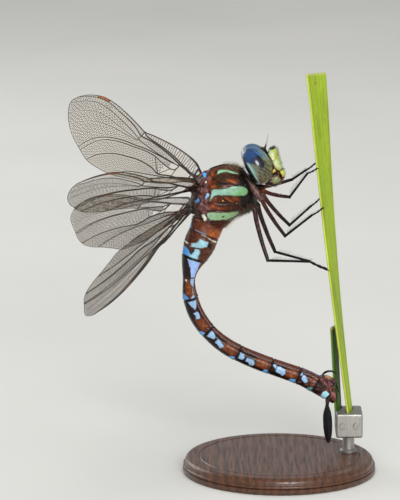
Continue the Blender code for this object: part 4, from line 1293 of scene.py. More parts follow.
def leg_spines(start, end, spread, count, length, rng, strip, low, high):
    """Two rows of thin spines along the inner side of a limb, with their spots on the map.

    The map has a strip for each leg, and a limb fills its strip from low to high.
    """
    along = unit(end - start)
    under = unit(np.cross(spread, along))
    spines = []
    for row in (-1, 1):
        direction = unit(under * 0.75 + spread * row * 0.6 + along * 0.75)
        for k in range(count):
            share = (k + 0.5 + rng.uniform(-0.15, 0.15)) / count
            root = start + (end - start) * share
            size = length * rng.uniform(0.75, 1.1) * (1 - 0.35 * share)
            path = [root, root + direction * size * 0.5, root + (direction + along * 0.12) * size]
            spot_on_map = ((strip + 0.5 + 0.25 * row) / LEG_COUNT, low + (high - low) * share)
            spines.append((path, spot_on_map))
    return spines


def add_legs(finish):
    """Six legs, each with hip, thigh, shin, three-jointed foot, claws and spines."""
    rng = np.random.default_rng(8)
    spines = []
    for pair, sides in LEGS.items():
        for side, sign in (("left", 1), ("right", -1)):
            joints = mirrored(sides[side], sign)
            if pair == "mid":
                joints[0] = np.array((-6.25, sign * 2.15, 55.9))
            (points, faces), share = leg_parts(joints, pair)
            make_piece(f"leg_{pair}_{side}", points, faces, finish, "black_cuticle",
                       [f"leg_{pair}_{side}_{part}" for part in ("femur", "tibia", "tarsus")],
                       leg_tint(share, points, pair))
            _, hip, knee, ankle, toe = joints
            spread = unit(np.cross(knee - hip, ankle - knee))
            strip = 2 * list(LEGS).index(pair) + (side == "right")
            for start, end, count, length, low, high in (
                    (hip * 0.6 + knee * 0.4, knee, 10, 0.55, 0.3, 0.48),
                    (knee * 0.95 + ankle * 0.05, ankle, 17, 1.15, 0.52, 0.78),
                    (ankle, toe, 9, 0.4, 0.82, 0.98)):
                spines += leg_spines(start, end, spread, count, length, rng, strip, low, high)
    paths, places = (np.array(part) for part in zip(*spines))
    radii = np.tile((0.038, 0.028, 0.01), (len(paths), 1))
    make_piece("leg_spines", *strands(paths, radii, 5), finish, "black_cuticle", tint=BLACK,
               uv=tuft_uv(places, 3, 5))


# ---------------------------- wings

# Main veins as (share of the wing's length, share of the chord behind the front edge), front
# to back. A vein runs with the one in front of it before it starts and is at the rear edge
# after it ends, except the first, which ends at the front edge.
VEINS = {
    "fore": {
        "subcosta": (
            (0, 0.386), (0.05, 0.465), (0.1, 0.364), (0.15, 0.279), (0.2, 0.215), (0.25, 0.169),
            (0.35, 0.106), (0.43, 0.061), (0.468, 0.0)),
        "radius": (
            (0, 0.516), (0.05, 0.525), (0.1, 0.412), (0.2, 0.26), (0.3, 0.172), (0.4, 0.113),
            (0.475, 0.095), (0.5, 0.078), (0.55, 0.057), (0.62, 0.053), (0.7, 0.056),
            (0.78, 0.044), (0.82, 0.05), (0.87, 0.05), (0.92, 0.045), (0.955, 0.06), (0.978, 0.0)),
        "sector_1": (
            (0.14, 0.389), (0.2, 0.345), (0.3, 0.296), (0.4, 0.227), (0.485, 0.161),
            (0.55, 0.144), (0.62, 0.138), (0.7, 0.137), (0.8, 0.147), (0.88, 0.164), (0.95, 0.26),
            (1.0, 0.5)),
        "sector_2": (
            (0.485, 0.197), (0.55, 0.214), (0.65, 0.24), (0.75, 0.273), (0.82, 0.326),
            (0.89, 0.458), (0.94, 0.719), (0.967, 1.0)),
        "between": (
            (0.485, 0.208), (0.55, 0.256), (0.65, 0.314), (0.73, 0.393), (0.8, 0.514),
            (0.86, 0.7), (0.91, 1.0)),
        "sector_3": (
            (0.19, 0.362), (0.25, 0.335), (0.32, 0.31), (0.4, 0.288), (0.47, 0.298),
            (0.54, 0.357), (0.6, 0.426), (0.65, 0.504), (0.7, 0.63), (0.735, 0.787), (0.76, 1.0)),
        "media": (
            (0.14, 0.528), (0.175, 0.529), (0.25, 0.444), (0.305, 0.374), (0.35, 0.348),
            (0.4, 0.335), (0.47, 0.346), (0.54, 0.407), (0.6, 0.479), (0.65, 0.563),
            (0.69, 0.692), (0.72, 0.866), (0.735, 1.0)),
        "media_rear": (
            (0, 0.881), (0.05, 0.853), (0.1, 0.78), (0.15, 0.725), (0.222, 0.733), (0.28, 0.625),
            (0.34, 0.572), (0.4, 0.549), (0.46, 0.56), (0.52, 0.614), (0.58, 0.716),
            (0.63, 0.846), (0.66, 1.0)),
        "cubitus": (
            (0, 0.933), (0.05, 0.943), (0.1, 0.859), (0.16, 0.805), (0.22, 0.8), (0.28, 0.813),
            (0.34, 0.825), (0.4, 0.864), (0.45, 1.0)),
    },
    "hind": {
        "subcosta": (
            (0, 0.015), (0.05, 0.131), (0.1, 0.112), (0.15, 0.096), (0.22, 0.066), (0.3, 0.034),
            (0.37, 0.022), (0.425, 0.0)),
        "radius": (
            (0, 0.052), (0.05, 0.164), (0.1, 0.138), (0.17, 0.114), (0.25, 0.082), (0.32, 0.058),
            (0.4, 0.046), (0.43, 0.046), (0.46, 0.036), (0.52, 0.03), (0.6, 0.034), (0.7, 0.038),
            (0.78, 0.038), (0.85, 0.042), (0.91, 0.042), (0.95, 0.08), (0.978, 0.0)),
        "sector_1": (
            (0.165, 0.148), (0.2, 0.14), (0.27, 0.14), (0.34, 0.145), (0.42, 0.134), (0.5, 0.114),
            (0.6, 0.118), (0.7, 0.129), (0.8, 0.155), (0.88, 0.21), (0.95, 0.32), (1.0, 0.52)),
        "sector_2": (
            (0.42, 0.154), (0.5, 0.167), (0.6, 0.207), (0.7, 0.261), (0.78, 0.346), (0.86, 0.508),
            (0.92, 0.738), (0.958, 1.0)),
        "between": (
            (0.42, 0.163), (0.5, 0.207), (0.6, 0.28), (0.7, 0.39), (0.79, 0.58), (0.86, 0.833),
            (0.9, 1.0)),
        "sector_3": (
            (0.28, 0.147), (0.34, 0.159), (0.4, 0.181), (0.46, 0.236), (0.53, 0.315),
            (0.6, 0.406), (0.66, 0.515), (0.71, 0.65), (0.745, 0.814), (0.768, 1.0)),
        "media": (
            (0.165, 0.199), (0.19, 0.246), (0.25, 0.238), (0.33, 0.198), (0.4, 0.22),
            (0.46, 0.268), (0.53, 0.353), (0.6, 0.448), (0.65, 0.549), (0.7, 0.7), (0.735, 0.884),
            (0.75, 1.0)),
        "media_rear": (
            (0, 0.422), (0.05, 0.366), (0.11, 0.299), (0.17, 0.284), (0.25, 0.357), (0.29, 0.485),
            (0.35, 0.532), (0.41, 0.567), (0.47, 0.625), (0.53, 0.718), (0.58, 0.837), (0.62, 1.0)),
        "cubitus": (
            (0, 0.495), (0.05, 0.444), (0.1, 0.416), (0.15, 0.448), (0.2, 0.494), (0.25, 0.544),
            (0.3, 0.62), (0.35, 0.707), (0.4, 0.83), (0.44, 1.0)),
    },
}
# Radii of the main veins at the wing's root and tip.
VEIN_RADIUS = {
    "subcosta": (0.15, 0.07),
    "radius": (0.19, 0.055),
    "sector_1": (0.12, 0.05),
    "sector_3": (0.13, 0.065),
    "media": (0.12, 0.055),
    "media_rear": (0.16, 0.045),
    "cubitus": (0.11, 0.045),
}
# Veins that end at the front edge; the spaces before them have one row of rungs.
LADDERS = ("subcosta", "radius")
# How high each vein rides in the pleats, from a fold at -1 to a crest at 1.
COSTA_CREST = 1.0
CREST = {
    "subcosta": -1.0,
    "radius": 0.9,
    "sector_1": -0.8,
    "sector_2": -0.55,
    "between": 0.5,
    "sector_3": -0.5,
    "media": 0.6,
    "media_rear": -0.6,
    "cubitus": 0.6,
}
NODUS = {"fore": 0.468, "hind": 0.425}
STIGMA = {"fore": (0.785, 0.868), "hind": (0.775, 0.85)}
ARCULUS = {"fore": 0.14, "hind": 0.165}
TRIANGLE = {
    "fore": ((0.175, 0.529), (0.305, 0.374), (0.222, 0.733)),
    "hind": ((0.185, 0.249), (0.33, 0.198), (0.25, 0.357)),
}
# Where the net of crossveins before a vein starts, as a share of the length.
NET_START = {"subcosta": 0.03, "radius": 0.03, "sector_1": 0.18, "media": 0.2, "rear": 0.0}
# Sizes of the cells and of the rungs' spacing, and radii of the finer veins, in mm.
CELL = 0.68
RUNG = 0.8
RUNG_RADIUS = 0.052
NET_RADIUS = 0.044
RIM_RADIUS = 0.06
# The net is a little heavier on the left wings than on the right ones.
NET_WEIGHT = {1: 1.05, -1: 0.72}
# The narrowest space between veins that holds cells, and how loosely their seeds lie in it.
NARROWEST_CELL = 0.22
SEED_JITTER = 0.1
SEED_MARGIN = 0.06
# Sizes of the tables of a wing's shape, and the gap left before its tip.
TABLE = 400
WIDE_TABLE = 80
TIP_GAP = 0.002


class Wing:
    """One wing's shape: from (share of length, share of chord) to its place in the model."""

    def __init__(self, side, root, sweep, rise, pitch, arch, washout, kind):
        sweep, rise, pitch = (math.radians(angle) for angle in (sweep, rise, pitch))
        self.kind, self.side = kind, side
        self.length = WING_LENGTH[kind]
        self.arch, self.washout = arch, washout
        self.out = np.array((-math.sin(sweep) * math.cos(rise),
                             side * math.cos(sweep) * math.cos(rise), math.sin(rise)))
        level = np.array((-math.cos(sweep), -side * math.sin(sweep), 0))
        down = np.cross(self.out, level) * side
        self.rear = level * math.cos(pitch) - down * math.sin(pitch)
        self.up = np.cross(self.out, self.rear) * side
        self.root = np.array((root[0], side * WING_ROOT_Y, root[1]))
        self.shares = np.linspace(WING_OUTLINE[kind][0][0], WING_OUTLINE[kind][-1][0], TABLE)
        outline = np.array([through(WING_OUTLINE[kind], u) for u in self.shares])
        self.lead, self.chord = outline[:, 0], outline.sum(1)
        self.veins = self.vein_table()
        self.pleats = self.pleat_table()

    def vein_table(self):
        """Each vein's share of the chord at every table share of the length."""
        tracks, before = {}, np.zeros(TABLE)
        for name, stations in VEINS[self.kind].items():
            track = np.array([through(stations, u)[0] for u in self.shares])
            track = np.where(self.shares < stations[0][0], before, track)
            if name != "sector_1":
                end = 0.0 if name in LADDERS else 1.0
                track = np.where(self.shares > stations[-1][0], end, track)
            tracks[name] = before = np.clip(track, 0.0, 1.0)
        return tracks

    def track(self, name, u):
        """A vein's share of the chord at these shares of the length."""
        if name in ("costa", "rear"):
            return np.full(np.shape(u), 0.0 if name == "costa" else 1.0)
        return np.interp(u, self.shares, self.veins[name])

    def pleat_table(self):
        """Heights from -1 to 1 over the wing: some veins ride on crests, the others in folds."""
        tracks, crests = [np.zeros(TABLE)], [np.full(TABLE, COSTA_CREST)]
        for name, stations in VEINS[self.kind].items():
            end = crests[0] if stations[-1][1] == 0.0 else np.zeros(TABLE)
            starts = step(stations[0][0], stations[0][0] + 0.08, self.shares)
            ends = step(stations[-1][0] - 0.1, stations[-1][0], self.shares)
            crest = crests[-1] * (1 - starts) + CREST[name] * starts
            tracks.append(np.maximum(self.veins[name], tracks[-1]))
            crests.append(crest * (1 - ends) + end * ends)
        tracks = np.array([*tracks, np.ones(TABLE)]).T + np.arange(len(tracks) + 1) * 1e-6
        crests = np.array([*crests, np.zeros(TABLE)]).T
        across = np.linspace(0, 1, WIDE_TABLE)
        return np.array([np.interp(across, *column) for column in zip(tracks, crests)])

    def relief(self, u, w):
        """The pleated height of the wing, in mm, highest near the front of the root."""
        row = np.clip(np.interp(u, self.shares, np.arange(TABLE)), 0, TABLE - 1.001)
        column = np.clip(w, 0, 1) * (WIDE_TABLE - 1.001)
        i, j = row.astype(int), column.astype(int)
        fi, fj = row - i, column - j
        near, far = (self.pleats[k, j] * (1 - fj) + self.pleats[k, j + 1] * fj for k in (i, i + 1))
        amount = 0.26 * (1 - 0.55 * w) * (1 - 0.65 * np.clip(u, 0, 1)) * step(-0.02, 0.06, u)
        return (near * (1 - fi) + far * fi) * amount

    def edges(self, u):
        """How far the front edge is from the wing's axis, and the chord, as shares of length."""
        return np.interp(u, self.shares, self.lead), np.interp(u, self.shares, self.chord)

    def place(self, u, w, lift=0.0):
        """Points of the wing in the model, in mm."""
        u, w = np.asarray(u, float), np.asarray(w, float)
        lead, chord = self.edges(u)
        v = chord * w - lead
        twist = np.radians(-self.washout) * u
        height = (v * np.sin(twist) + self.arch * u * u) * self.length + self.relief(u, w) + lift
        return (self.root + self.out * (u * self.length)[:, None]
                + self.rear * (v * np.cos(twist) * self.length)[:, None]
                + self.up * height[:, None])

    def flat_place(self, u, w):
        """The wing laid flat: distance along it and behind its front line, in mm."""
        lead, chord = self.edges(u)
        return np.array((u * self.length, (chord * w - lead) * self.length))

    def share_place(self, flat_points):
        """The shares of length and chord of points on the wing laid flat."""
        u = flat_points[:, 0] / self.length
        lead, chord = self.edges(u)
        return u, (flat_points[:, 1] / self.length + lead) / chord


def share_grid(ends_u, ends_w, rows, columns):
    """The shares of length and chord over a grid of points, row by row."""
    u, w = np.meshgrid(np.linspace(*ends_u, rows), np.linspace(*ends_w, columns), indexing="ij")
    return u.ravel(), w.ravel()


def circumcentre(a, b, c):
    """The middle of the circle through three flat points."""
    d = 2 * (a.x * (b.y - c.y) + b.x * (c.y - a.y) + c.x * (a.y - b.y))
    if abs(d) < 1e-12:
        return ((a + b + c) / 3)[:]
    aa, bb, cc = a.length_squared, b.length_squared, c.length_squared
    return ((aa * (b.y - c.y) + bb * (c.y - a.y) + cc * (a.y - b.y)) / d,
            (aa * (c.x - b.x) + bb * (a.x - c.x) + cc * (b.x - a.x)) / d)


def cell_seeds(wing, front, rear, start, rng):
    """Seeds of a cell pattern between two veins, and which are real and not mirror images."""
    ladder = rear in LADDERS
    pitch = RUNG if ladder else CELL
    seeds, real = [], []
    u, column = start, 0
    while u < wing.shares[-1] - TIP_GAP:
        low, high = float(wing.track(front, u)), float(wing.track(rear, u))
        gap = (high - low) * float(wing.edges(u)[1]) * wing.length
        if gap > NARROWEST_CELL:
            rows = 1 if ladder else max(1, round(gap / CELL))
            offset = 0.25 * (1 if column % 2 else -1) if rows > 1 else 0.0
            for k in range(rows):
                jitter = rng.uniform(-SEED_JITTER, SEED_JITTER, 2)
                share = (k + 0.5 + offset) / rows + jitter[0] / rows
                w = low + (high - low) * min(max(share, SEED_MARGIN), 1 - SEED_MARGIN)
                at = u + jitter[1] * pitch / wing.length * (0.3 if ladder else 1.0)
                for ghost in (w, 2 * low - w, 2 * high - w):
                    seeds.append(wing.flat_place(at, ghost))
                    real.append(ghost == w)
        u += pitch / wing.length * (0.82 if gap / CELL > 1.5 and not ladder else 1.0)
        column += 1
    return seeds, real


def cell_edges(wing, front, rear, start, rng):
    """The crossveins between two veins: edges of a cell pattern grown from seeds in rows."""
    none = np.zeros((0, 2, 2))
    seeds, real = cell_seeds(wing, front, rear, start, rng)
    if len(seeds) < 6:
        return none
    points, _, faces, origin, _, _ = geometry.delaunay_2d_cdt(
        [Vector(seed) for seed in seeds], [], [], 0, 1e-5)
    is_real = [real[found[0]] if found else False for found in origin]
    middles, meets = [], {}
    for number, (a, b, c) in enumerate(faces):
        middles.append(circumcentre(points[a], points[b], points[c]))
        for pair in ((a, b), (b, c), (c, a)):
            meets.setdefault(tuple(sorted(pair)), []).append(number)
    pairs = [(middles[found[0]], middles[found[1]]) for (p, q), found in meets.items()
             if len(found) == 2 and is_real[p] and is_real[q]]
    if not pairs:
        return none
    u, w = wing.share_place(np.array(pairs).reshape(-1, 2))
    u = np.clip(u, start - 0.01, wing.shares[-1] - TIP_GAP)
    w = np.clip(w, wing.track(front, u), wing.track(rear, u))
    return np.stack((u, w), -1).reshape(-1, 2, 2)


def strong_chords(wing):
    """The strong crossveins, each by its two ends: arculus, triangle, nodus and stigma ends."""
    kind = wing.kind
    arculus, nodus, corners = ARCULUS[kind], NODUS[kind], TRIANGLE[kind]
    chords = [((arculus, wing.track("radius", arculus)),
               (arculus + 0.004, wing.track("media_rear", arculus))),
              *zip(corners, corners[1:] + corners[:1]),
              ((nodus, 0.0), (nodus, wing.track("radius", nodus))),
              ((nodus + 0.004, wing.track("radius", nodus)),
               (nodus + 0.012, wing.track("sector_2", nodus) + 0.03))]
    return chords + [((at, 0.0), (at + 0.006, wing.track("radius", at + 0.006)))
                     for at in STIGMA[kind]]


def wing_veins(wing, rng):
    """Every vein of a wing as strands: thick main ones and a net of fine crossveins."""
    kind = wing.kind
    names = ["costa", *VEINS[kind], "rear"]
    edge_u = np.linspace(-0.035, wing.shares[-1], 150)
    thick = np.interp(edge_u, (0, 0.15, 0.5, 1), (0.25, 0.135, 0.105, 0.065))
    tip = wing.place(np.full(12, wing.shares[-1]), np.linspace(0, 1, 12))
    parts = [strand(wing.place(edge_u, np.zeros(150)), thick, 8),
             strand(wing.place(edge_u, np.ones(150)), RIM_RADIUS, 6), strand(tip, RIM_RADIUS, 6)]
    for name, stations in VEINS[kind].items():
        u = np.linspace(stations[0][0], stations[-1][0], 110)
        radius = np.interp(u, (0, 1), VEIN_RADIUS.get(name, (0.06, 0.04)))
        parts.append(strand(wing.place(u, wing.track(name, u)), radius, 6))
    for start, end in strong_chords(wing):
        share = np.linspace(0, 1, 8)
        u, w = (float(a) + (float(b) - float(a)) * share for a, b in zip(start, end))
        parts.append(strand(wing.place(u, w), 0.07, 6))
    for front, rear in zip(names, names[1:]):
        start = TRIANGLE[kind][2][0] if rear == "media_rear" else NET_START.get(rear, 0.02)
        edges = cell_edges(wing, front, rear, start, rng)
        middle = edges[:, :, 0].mean(1)
        if rear == "subcosta":
            edges = edges[edges[:, 0, 0] < NODUS[kind]]
        if rear == "radius":
            low, high = STIGMA[kind]
            edges = edges[(middle <= low) | (middle >= high + 0.004)]
        if not len(edges):
            continue
        u, w = edges[:, :, 0], edges[:, :, 1]
        share = np.linspace(0, 1, 3)
        us, ws = (ends[:, :1] + (ends[:, 1:] - ends[:, :1]) * share for ends in (u, w))
        paths = wing.place(us.ravel(), ws.ravel()).reshape(-1, 3, 3)
        size = (RUNG_RADIUS if rear in LADDERS else NET_RADIUS) * NET_WEIGHT[wing.side]
        radii = np.repeat((size * (1.1 - 0.3 * u.mean(1)))[:, None], 3, 1)
        parts.append(strands(paths, radii, 5))
    return joined(parts)


def add_stigma(name, wing, finish):
    """The coloured cell as a thin closed plate between the front edge and the radius."""
    rows, columns = 60, 12
    low, high = STIGMA[wing.kind]
    u, w = share_grid((low, high + 0.004), (0.06, 0.94), rows, columns)
    sheets = [wing.place(u, w * wing.track("radius", u), lift) for lift in (0.05, -0.05)]
    quads, size = grid_faces(rows, columns, False), rows * columns
    ids = np.arange(size).reshape(rows, columns)
    rim = np.concatenate((ids[0], ids[1:, -1], ids[-1, -2::-1], ids[-2:0:-1, 0]))
    after = np.roll(rim, -1)
    walls = np.stack((rim, after, after + size, rim + size), -1)
    make_piece(f"{name}_stigma", np.concatenate(sheets), [quads[:, ::-1], quads + size, walls],
               finish, "wing_membrane")


def add_wings(membrane, vein, stigma_finish):
    """Four wings: a pleated clear skin, its veins and the coloured cell near the tip."""
    for number, (name, settings) in enumerate(WINGS.items()):
        wing = Wing(**settings)
        rows, columns = 230, 90
        u, w = share_grid((wing.shares[0], wing.shares[-1]), (0, 1), rows, columns)
        share = np.clip(u, 0, 1)
        make_piece(f"{name}_membrane", wing.place(u, w), [grid_faces(rows, columns, False)],
                   membrane, "wing_membrane", [name],
                   paint((150, 112, 26),
                         (0.5 * step(0.05, 0.5, share) * step(1.0, 0.7, share), (166, 136, 48)),
                         (0.6 * step(0.75, 1.0, share), (120, 100, 40)),
                         (0.7 * step(0.1, 0.0, share), (150, 110, 50))))
        make_piece(f"{name}_veins", *wing_veins(wing, np.random.default_rng(100 + number)), vein,
                   "black_cuticle")
        add_stigma(name, wing, stigma_finish)


# Vein trunks at the wing roots: from and to this share of the length, and their radii.
ROOT_REACH = (-0.038, 0.12)
VEIN_TRUNKS = (
    ("costa", 0.3), ("subcosta", 0.22), ("radius", 0.36), ("media_rear", 0.3), ("cubitus", 0.26),
    ("rear", 0.15))
# Links between trunks: share of the length, first vein, last vein, radius.
TRUNK_LINKS = (
    (0.028, "costa", "radius", 0.16), (0.016, "radius", "cubitus", 0.2),
    (0.045, "radius", "media_rear", 0.12))
# Beads under the trunks: share of the length, share of the chord, half size.
ROOT_BEADS = ((-0.02, 0.12, 0.46), (-0.012, 0.5, 0.5), (-0.02, 0.88, 0.44))


def add_wing_roots(dark):
    """The dark trunks of the main veins where the wings spring from the thorax."""
    parts = []
    for settings in WINGS.values():
        wing = Wing(**settings)
        u = np.linspace(*ROOT_REACH, 26)
        for vein, wide in VEIN_TRUNKS:
            radius = np.interp(u, (-0.038, 0.0, 0.05, 0.12), (wide, wide * 0.9, wide * 0.6, 0.12))
            parts.append(strand(wing.place(u, wing.track(vein, u)), radius, 14))
        for at, low, high, wide in TRUNK_LINKS:
            w = np.linspace(float(wing.track(low, at)), float(wing.track(high, at)), 8)
            parts.append(strand(wing.place(np.full(8, at), w), wide, 12))
        for at, w, size in ROOT_BEADS:
            parts.append(bead(wing.place([at], [w])[0], (size, size * 0.8, size * 1.1), 22))
    points, faces = joined(parts)
    make_piece("wing_roots", points, faces, dark, "brown_cuticle",
               tint=paint((26, 18, 16), (0.8 * cloud(points, 0.7, 18, 0.3, 0.9), (84, 48, 34))))


# ---------------------------- hair

# A coat: name, finish, hairs, lean, length, radius, and its zone as steps (measure, low, high).
OFF_STRIPES = ("in_stripe", 0.3, 0.1)
THORAX_COATS = (
    (
        "thorax_top_ruff", "fair", 750, (-0.1, 0, 0.5), 0.85, 0.008,
        (("x", -11.4, -8.8), ("x", -7.2, -8.2), ("up", 0.3, 0.8))),
    (
        "thorax_neck_ruff", "dark", 1500, (0.2, 0, 0.4), 0.6, 0.01,
        (("x", -8.6, -6.9), ("z", 52.5, 54.0), OFF_STRIPES)),
    (
        "thorax_belly_fuzz", "fair", 800, (0.25, 0, -0.4), 0.6, 0.008,
        (("over_belly", 50.0, 48.6), ("x", -11.0, -9.0), ("up", -0.2, -0.6))),
    (
        "thorax_chest_fuzz", "dark", 1300, (0.5, 0, -0.3), 0.5, 0.01,
        (("x", -8.8, -7.0), ("z", 53.0, 51.0), OFF_STRIPES)),
    (
        "thorax_side_down", "fair", 900, (-0.4, 0, 0.1), 0.2, 0.005,
        (("sideways", 0.2, 0.5), ("x", -13.0, -12.0), OFF_STRIPES)),
    ("thorax_rump_down", "fair", 500, (-0.5, 0, 0.0), 0.45, 0.008, (("x", -14.2, -15.0),)),
)
WAIST_COATS = (("waist_down", "fair", 900, (0.0, 0, -0.5), 0.35, 0.007, (("z", 41.5, 44.5),)),)
# The share of its map that a hair's patch takes, how much hairs curl, and how deep they root.
TUFT_PATCH = 0.003
HAIR_CURL = 0.25
HAIR_SINK = 0.03


def tuft_uv(spots, stations, sides):
    """Lays each strand on a small patch of the coat's map, at its root's spot."""
    ring = np.stack((np.tile(np.arange(sides), stations) / (sides - 1) - 0.5,
                     np.repeat(np.arange(stations), sides) / (stations - 1) - 0.5), -1)
    return (np.repeat(spots, stations * sides, axis=0)
            + np.tile(ring, (len(spots), 1)) * TUFT_PATCH)


def hair(name, roots, normals, uv, lean, length, radius, finish, slot, rng):
    """A joined coat of three-sided hairs, each on its own spot of the coat's map."""
    count = len(roots)
    direction = unit(normals + np.asarray(lean) + rng.normal(0, 0.22, (count, 3)))
    size = length * rng.uniform(0.55, 1.15, count)[:, None]
    bend = unit(rng.normal(0, 1, (count, 3)) + np.asarray(lean)) * HAIR_CURL
    paths = np.stack([roots + (direction + bend * share) * size * share
                      for share in (0.0, 0.35, 0.7, 1.0)], 1)
    radii = radius * np.tile((1.0, 0.85, 0.55, 0.12), (count, 1))
    make_piece(name, *strands(paths, radii, 3), finish, slot, uv=tuft_uv(uv, 4, 3))


def pick(grid, normals, odds, count, rng):
    """Random roots on a grid by their odds, with their normals and map places."""
    points, out = grid.reshape(-1, 3), normals.reshape(-1, 3)
    odds = np.clip(odds, 0, None).astype(float)
    found = rng.choice(len(points), count, p=odds / odds.sum())
    rows, columns = grid.shape[:2]
    uv = np.stack((found % columns / columns, found // columns / rows), -1) * 0.98 + 0.01
    return points[found] - out[found] * HAIR_SINK, out[found], uv


def zone_measures(points, out):
    """What the zones of the coats go by: places in mm, and how far a spot faces each way."""
    places = side_places(points)
    in_stripe = np.max([patch(places, outline, 0.1, grow=0.2)
                        for outline in (SIDE_STRIPE, REAR_STRIPE, SHOULDER_STRIPE)], axis=0)
    return {"x": points[:, 0], "z": points[:, 2], "in_stripe": in_stripe,
            "over_belly": places[:, 1] - 0.35 * (points[:, 0] + 10),
            "up": out[:, 2], "sideways": np.abs(out[:, 1])}


def add_hair(thorax, abdomen, fair, dark):
    """The ruff of the thorax, its belly fuzz and the short hairs of the waist."""
    rng = np.random.default_rng(17)
    for body, finish, coats in ((thorax, {"fair": fair, "dark": dark}, THORAX_COATS),
                                (abdomen, {"fair": fair}, WAIST_COATS)):
        measures = zone_measures(*(part.reshape(-1, 3) for part in body))
        for name, ink, count, lean, size, thick, zone in coats:
            odds = math.prod(step(low, high, measures[key]) for key, low, high in zone)
            hair(name, *pick(*body, odds, count, rng), lean, size, thick, finish[ink],
                 "brown_cuticle", rng)


def add_face_hair(dark):
    """Black hairs over the brow, the face, the jaws and the nape."""
    rng = np.random.default_rng(23)
    for name, grid, is_nape, count, lean, size in (
            ("brow_hair", face_rings(FACE, 60, 60), False, 460, 0.4, 0.4),
            ("jaw_hair", face_rings(MOUTH, 60, 60), False, 130, 0.4, 0.3),
            ("lip_hair", face_rings(LABRUM, 60, 60), False, 80, 0.4, 0.28),
            ("nape_hair", head_rings(CAPSULE_BACK, 110, 60), True, 300, -0.5, 0.42)):
        normals = grid_normals(grid)
        ahead, above = normals.reshape(-1, 3) @ FORWARD, normals.reshape(-1, 3) @ UPWARD
        odds = ahead < 0.2 if is_nape else (ahead > 0.45) | (above < -0.6)
        hair(name, *pick(grid, normals, odds, count, rng), FORWARD * lean, size, 0.009, dark,
             "black_cuticle", rng)


# ---------------------------- leaf and stand

# How fast the leaf's ribs follow each other across its width.
RIB_PHASE = 7.4
BASE_HEIGHT = 3.0
BASE_RADIUS = 18.0
STAND_CREASE = 35.0
# A clamp screw's turned outline: radius, and depth behind the clamp's face.
SCREW = ((0.62, 0.15), (0.62, -0.22), (0.54, -0.3), (0.32, -0.3), (0.3, -0.1))


def strap_grid(width, low, high, edge, edge_y, face, rows):
    """The leaf's rings, ribbed by its parallel veins, with the ribs and angles of a ring."""
    columns = 168
    angle = 2 * math.pi * np.arange(columns) / columns
    ribs = 0.5 + 0.5 * np.cos(np.cos(angle) * width * RIB_PHASE)
    rings = []
    for z in np.linspace(low, high, rows):
        t = z - EDGE_DATUM
        bow = edge[2] * math.sin(math.pi * min(max(t / EDGE_SPAN, 0), 1))
        near = np.array((edge[0] + edge[1] * t + bow, edge_y, z))
        turn = math.radians(face[0] + face[1] * t + face[2] * t * t)
        along = np.array((math.cos(turn), math.sin(turn), 0))
        away = np.array((-along[1], along[0], 0))
        ring = oval(near + along * width / 2, along, away, width / 2, LEAF_THICKNESS / 2,
                    columns, 3.0)
        rings.append(ring + np.outer((ribs * 0.05 - 0.05) * np.sign(np.sin(angle)), away))
    return np.array(rings), ribs, angle


def add_leaf(name, node_name, settings, finish, rows, ink, edge_ink, seed):
    """One cut leaf: parallel veins, a pale near edge, faint marks and a few brown specks."""
    grid, ribs, angle = strap_grid(**settings, rows=rows)
    points, faces = skin(grid)
    half, low, high = settings["width"] / 2, settings["low"], settings["high"]
    across = np.tile(np.cos(angle), len(grid))
    green = colour(*ink)
    tint = paint(
        ink,
        (0.35 * step(0.55, 0.95, np.tile(ribs, len(grid))), green * 1.5 + 0.01),
        (0.5 * cloud(points * (1, 1, 0.12), 1.6, seed, 0.3, 1.0), green * 0.72),
        (0.85 * step(-0.8, -0.97, across), edge_ink),
        (0.7 * step(-0.78, -0.7, across) * step(-0.55, -0.66, across), green * 0.6))
    rng = np.random.default_rng(seed)
    places = np.stack((across * half, points[:, 2]), -1)
    for _ in range(rows // 22):
        middle = (rng.uniform(-0.9, 0.9) * half, rng.uniform(low, high))
        size = rng.uniform(0.1, 0.2)
        tint = paint(tint, (0.8 * spot(places, middle, size, size * 1.5, 0, 0.6), (150, 96, 34)))
    cut = step(0.5, 0.15, np.minimum(points[:, 2] - low, high - points[:, 2]))
    make_piece(name, points, faces, finish, "leaf", [node_name],
               paint(tint, (0.55 * cut, (176, 176, 110))))


def arc(radius, height, reach, rise, start, stop, count):
    """Corners (radius, height) of a rounded moulding between two angles."""
    turns = [math.radians(start + (stop - start) * k / (count - 1)) for k in range(count)]
    return [(radius + reach * math.cos(turn), height + rise * math.sin(turn)) for turn in turns]


def in_mm(corners):
    """Corners given in metres, in mm."""
    return [np.array(corner) / MM for corner in corners]


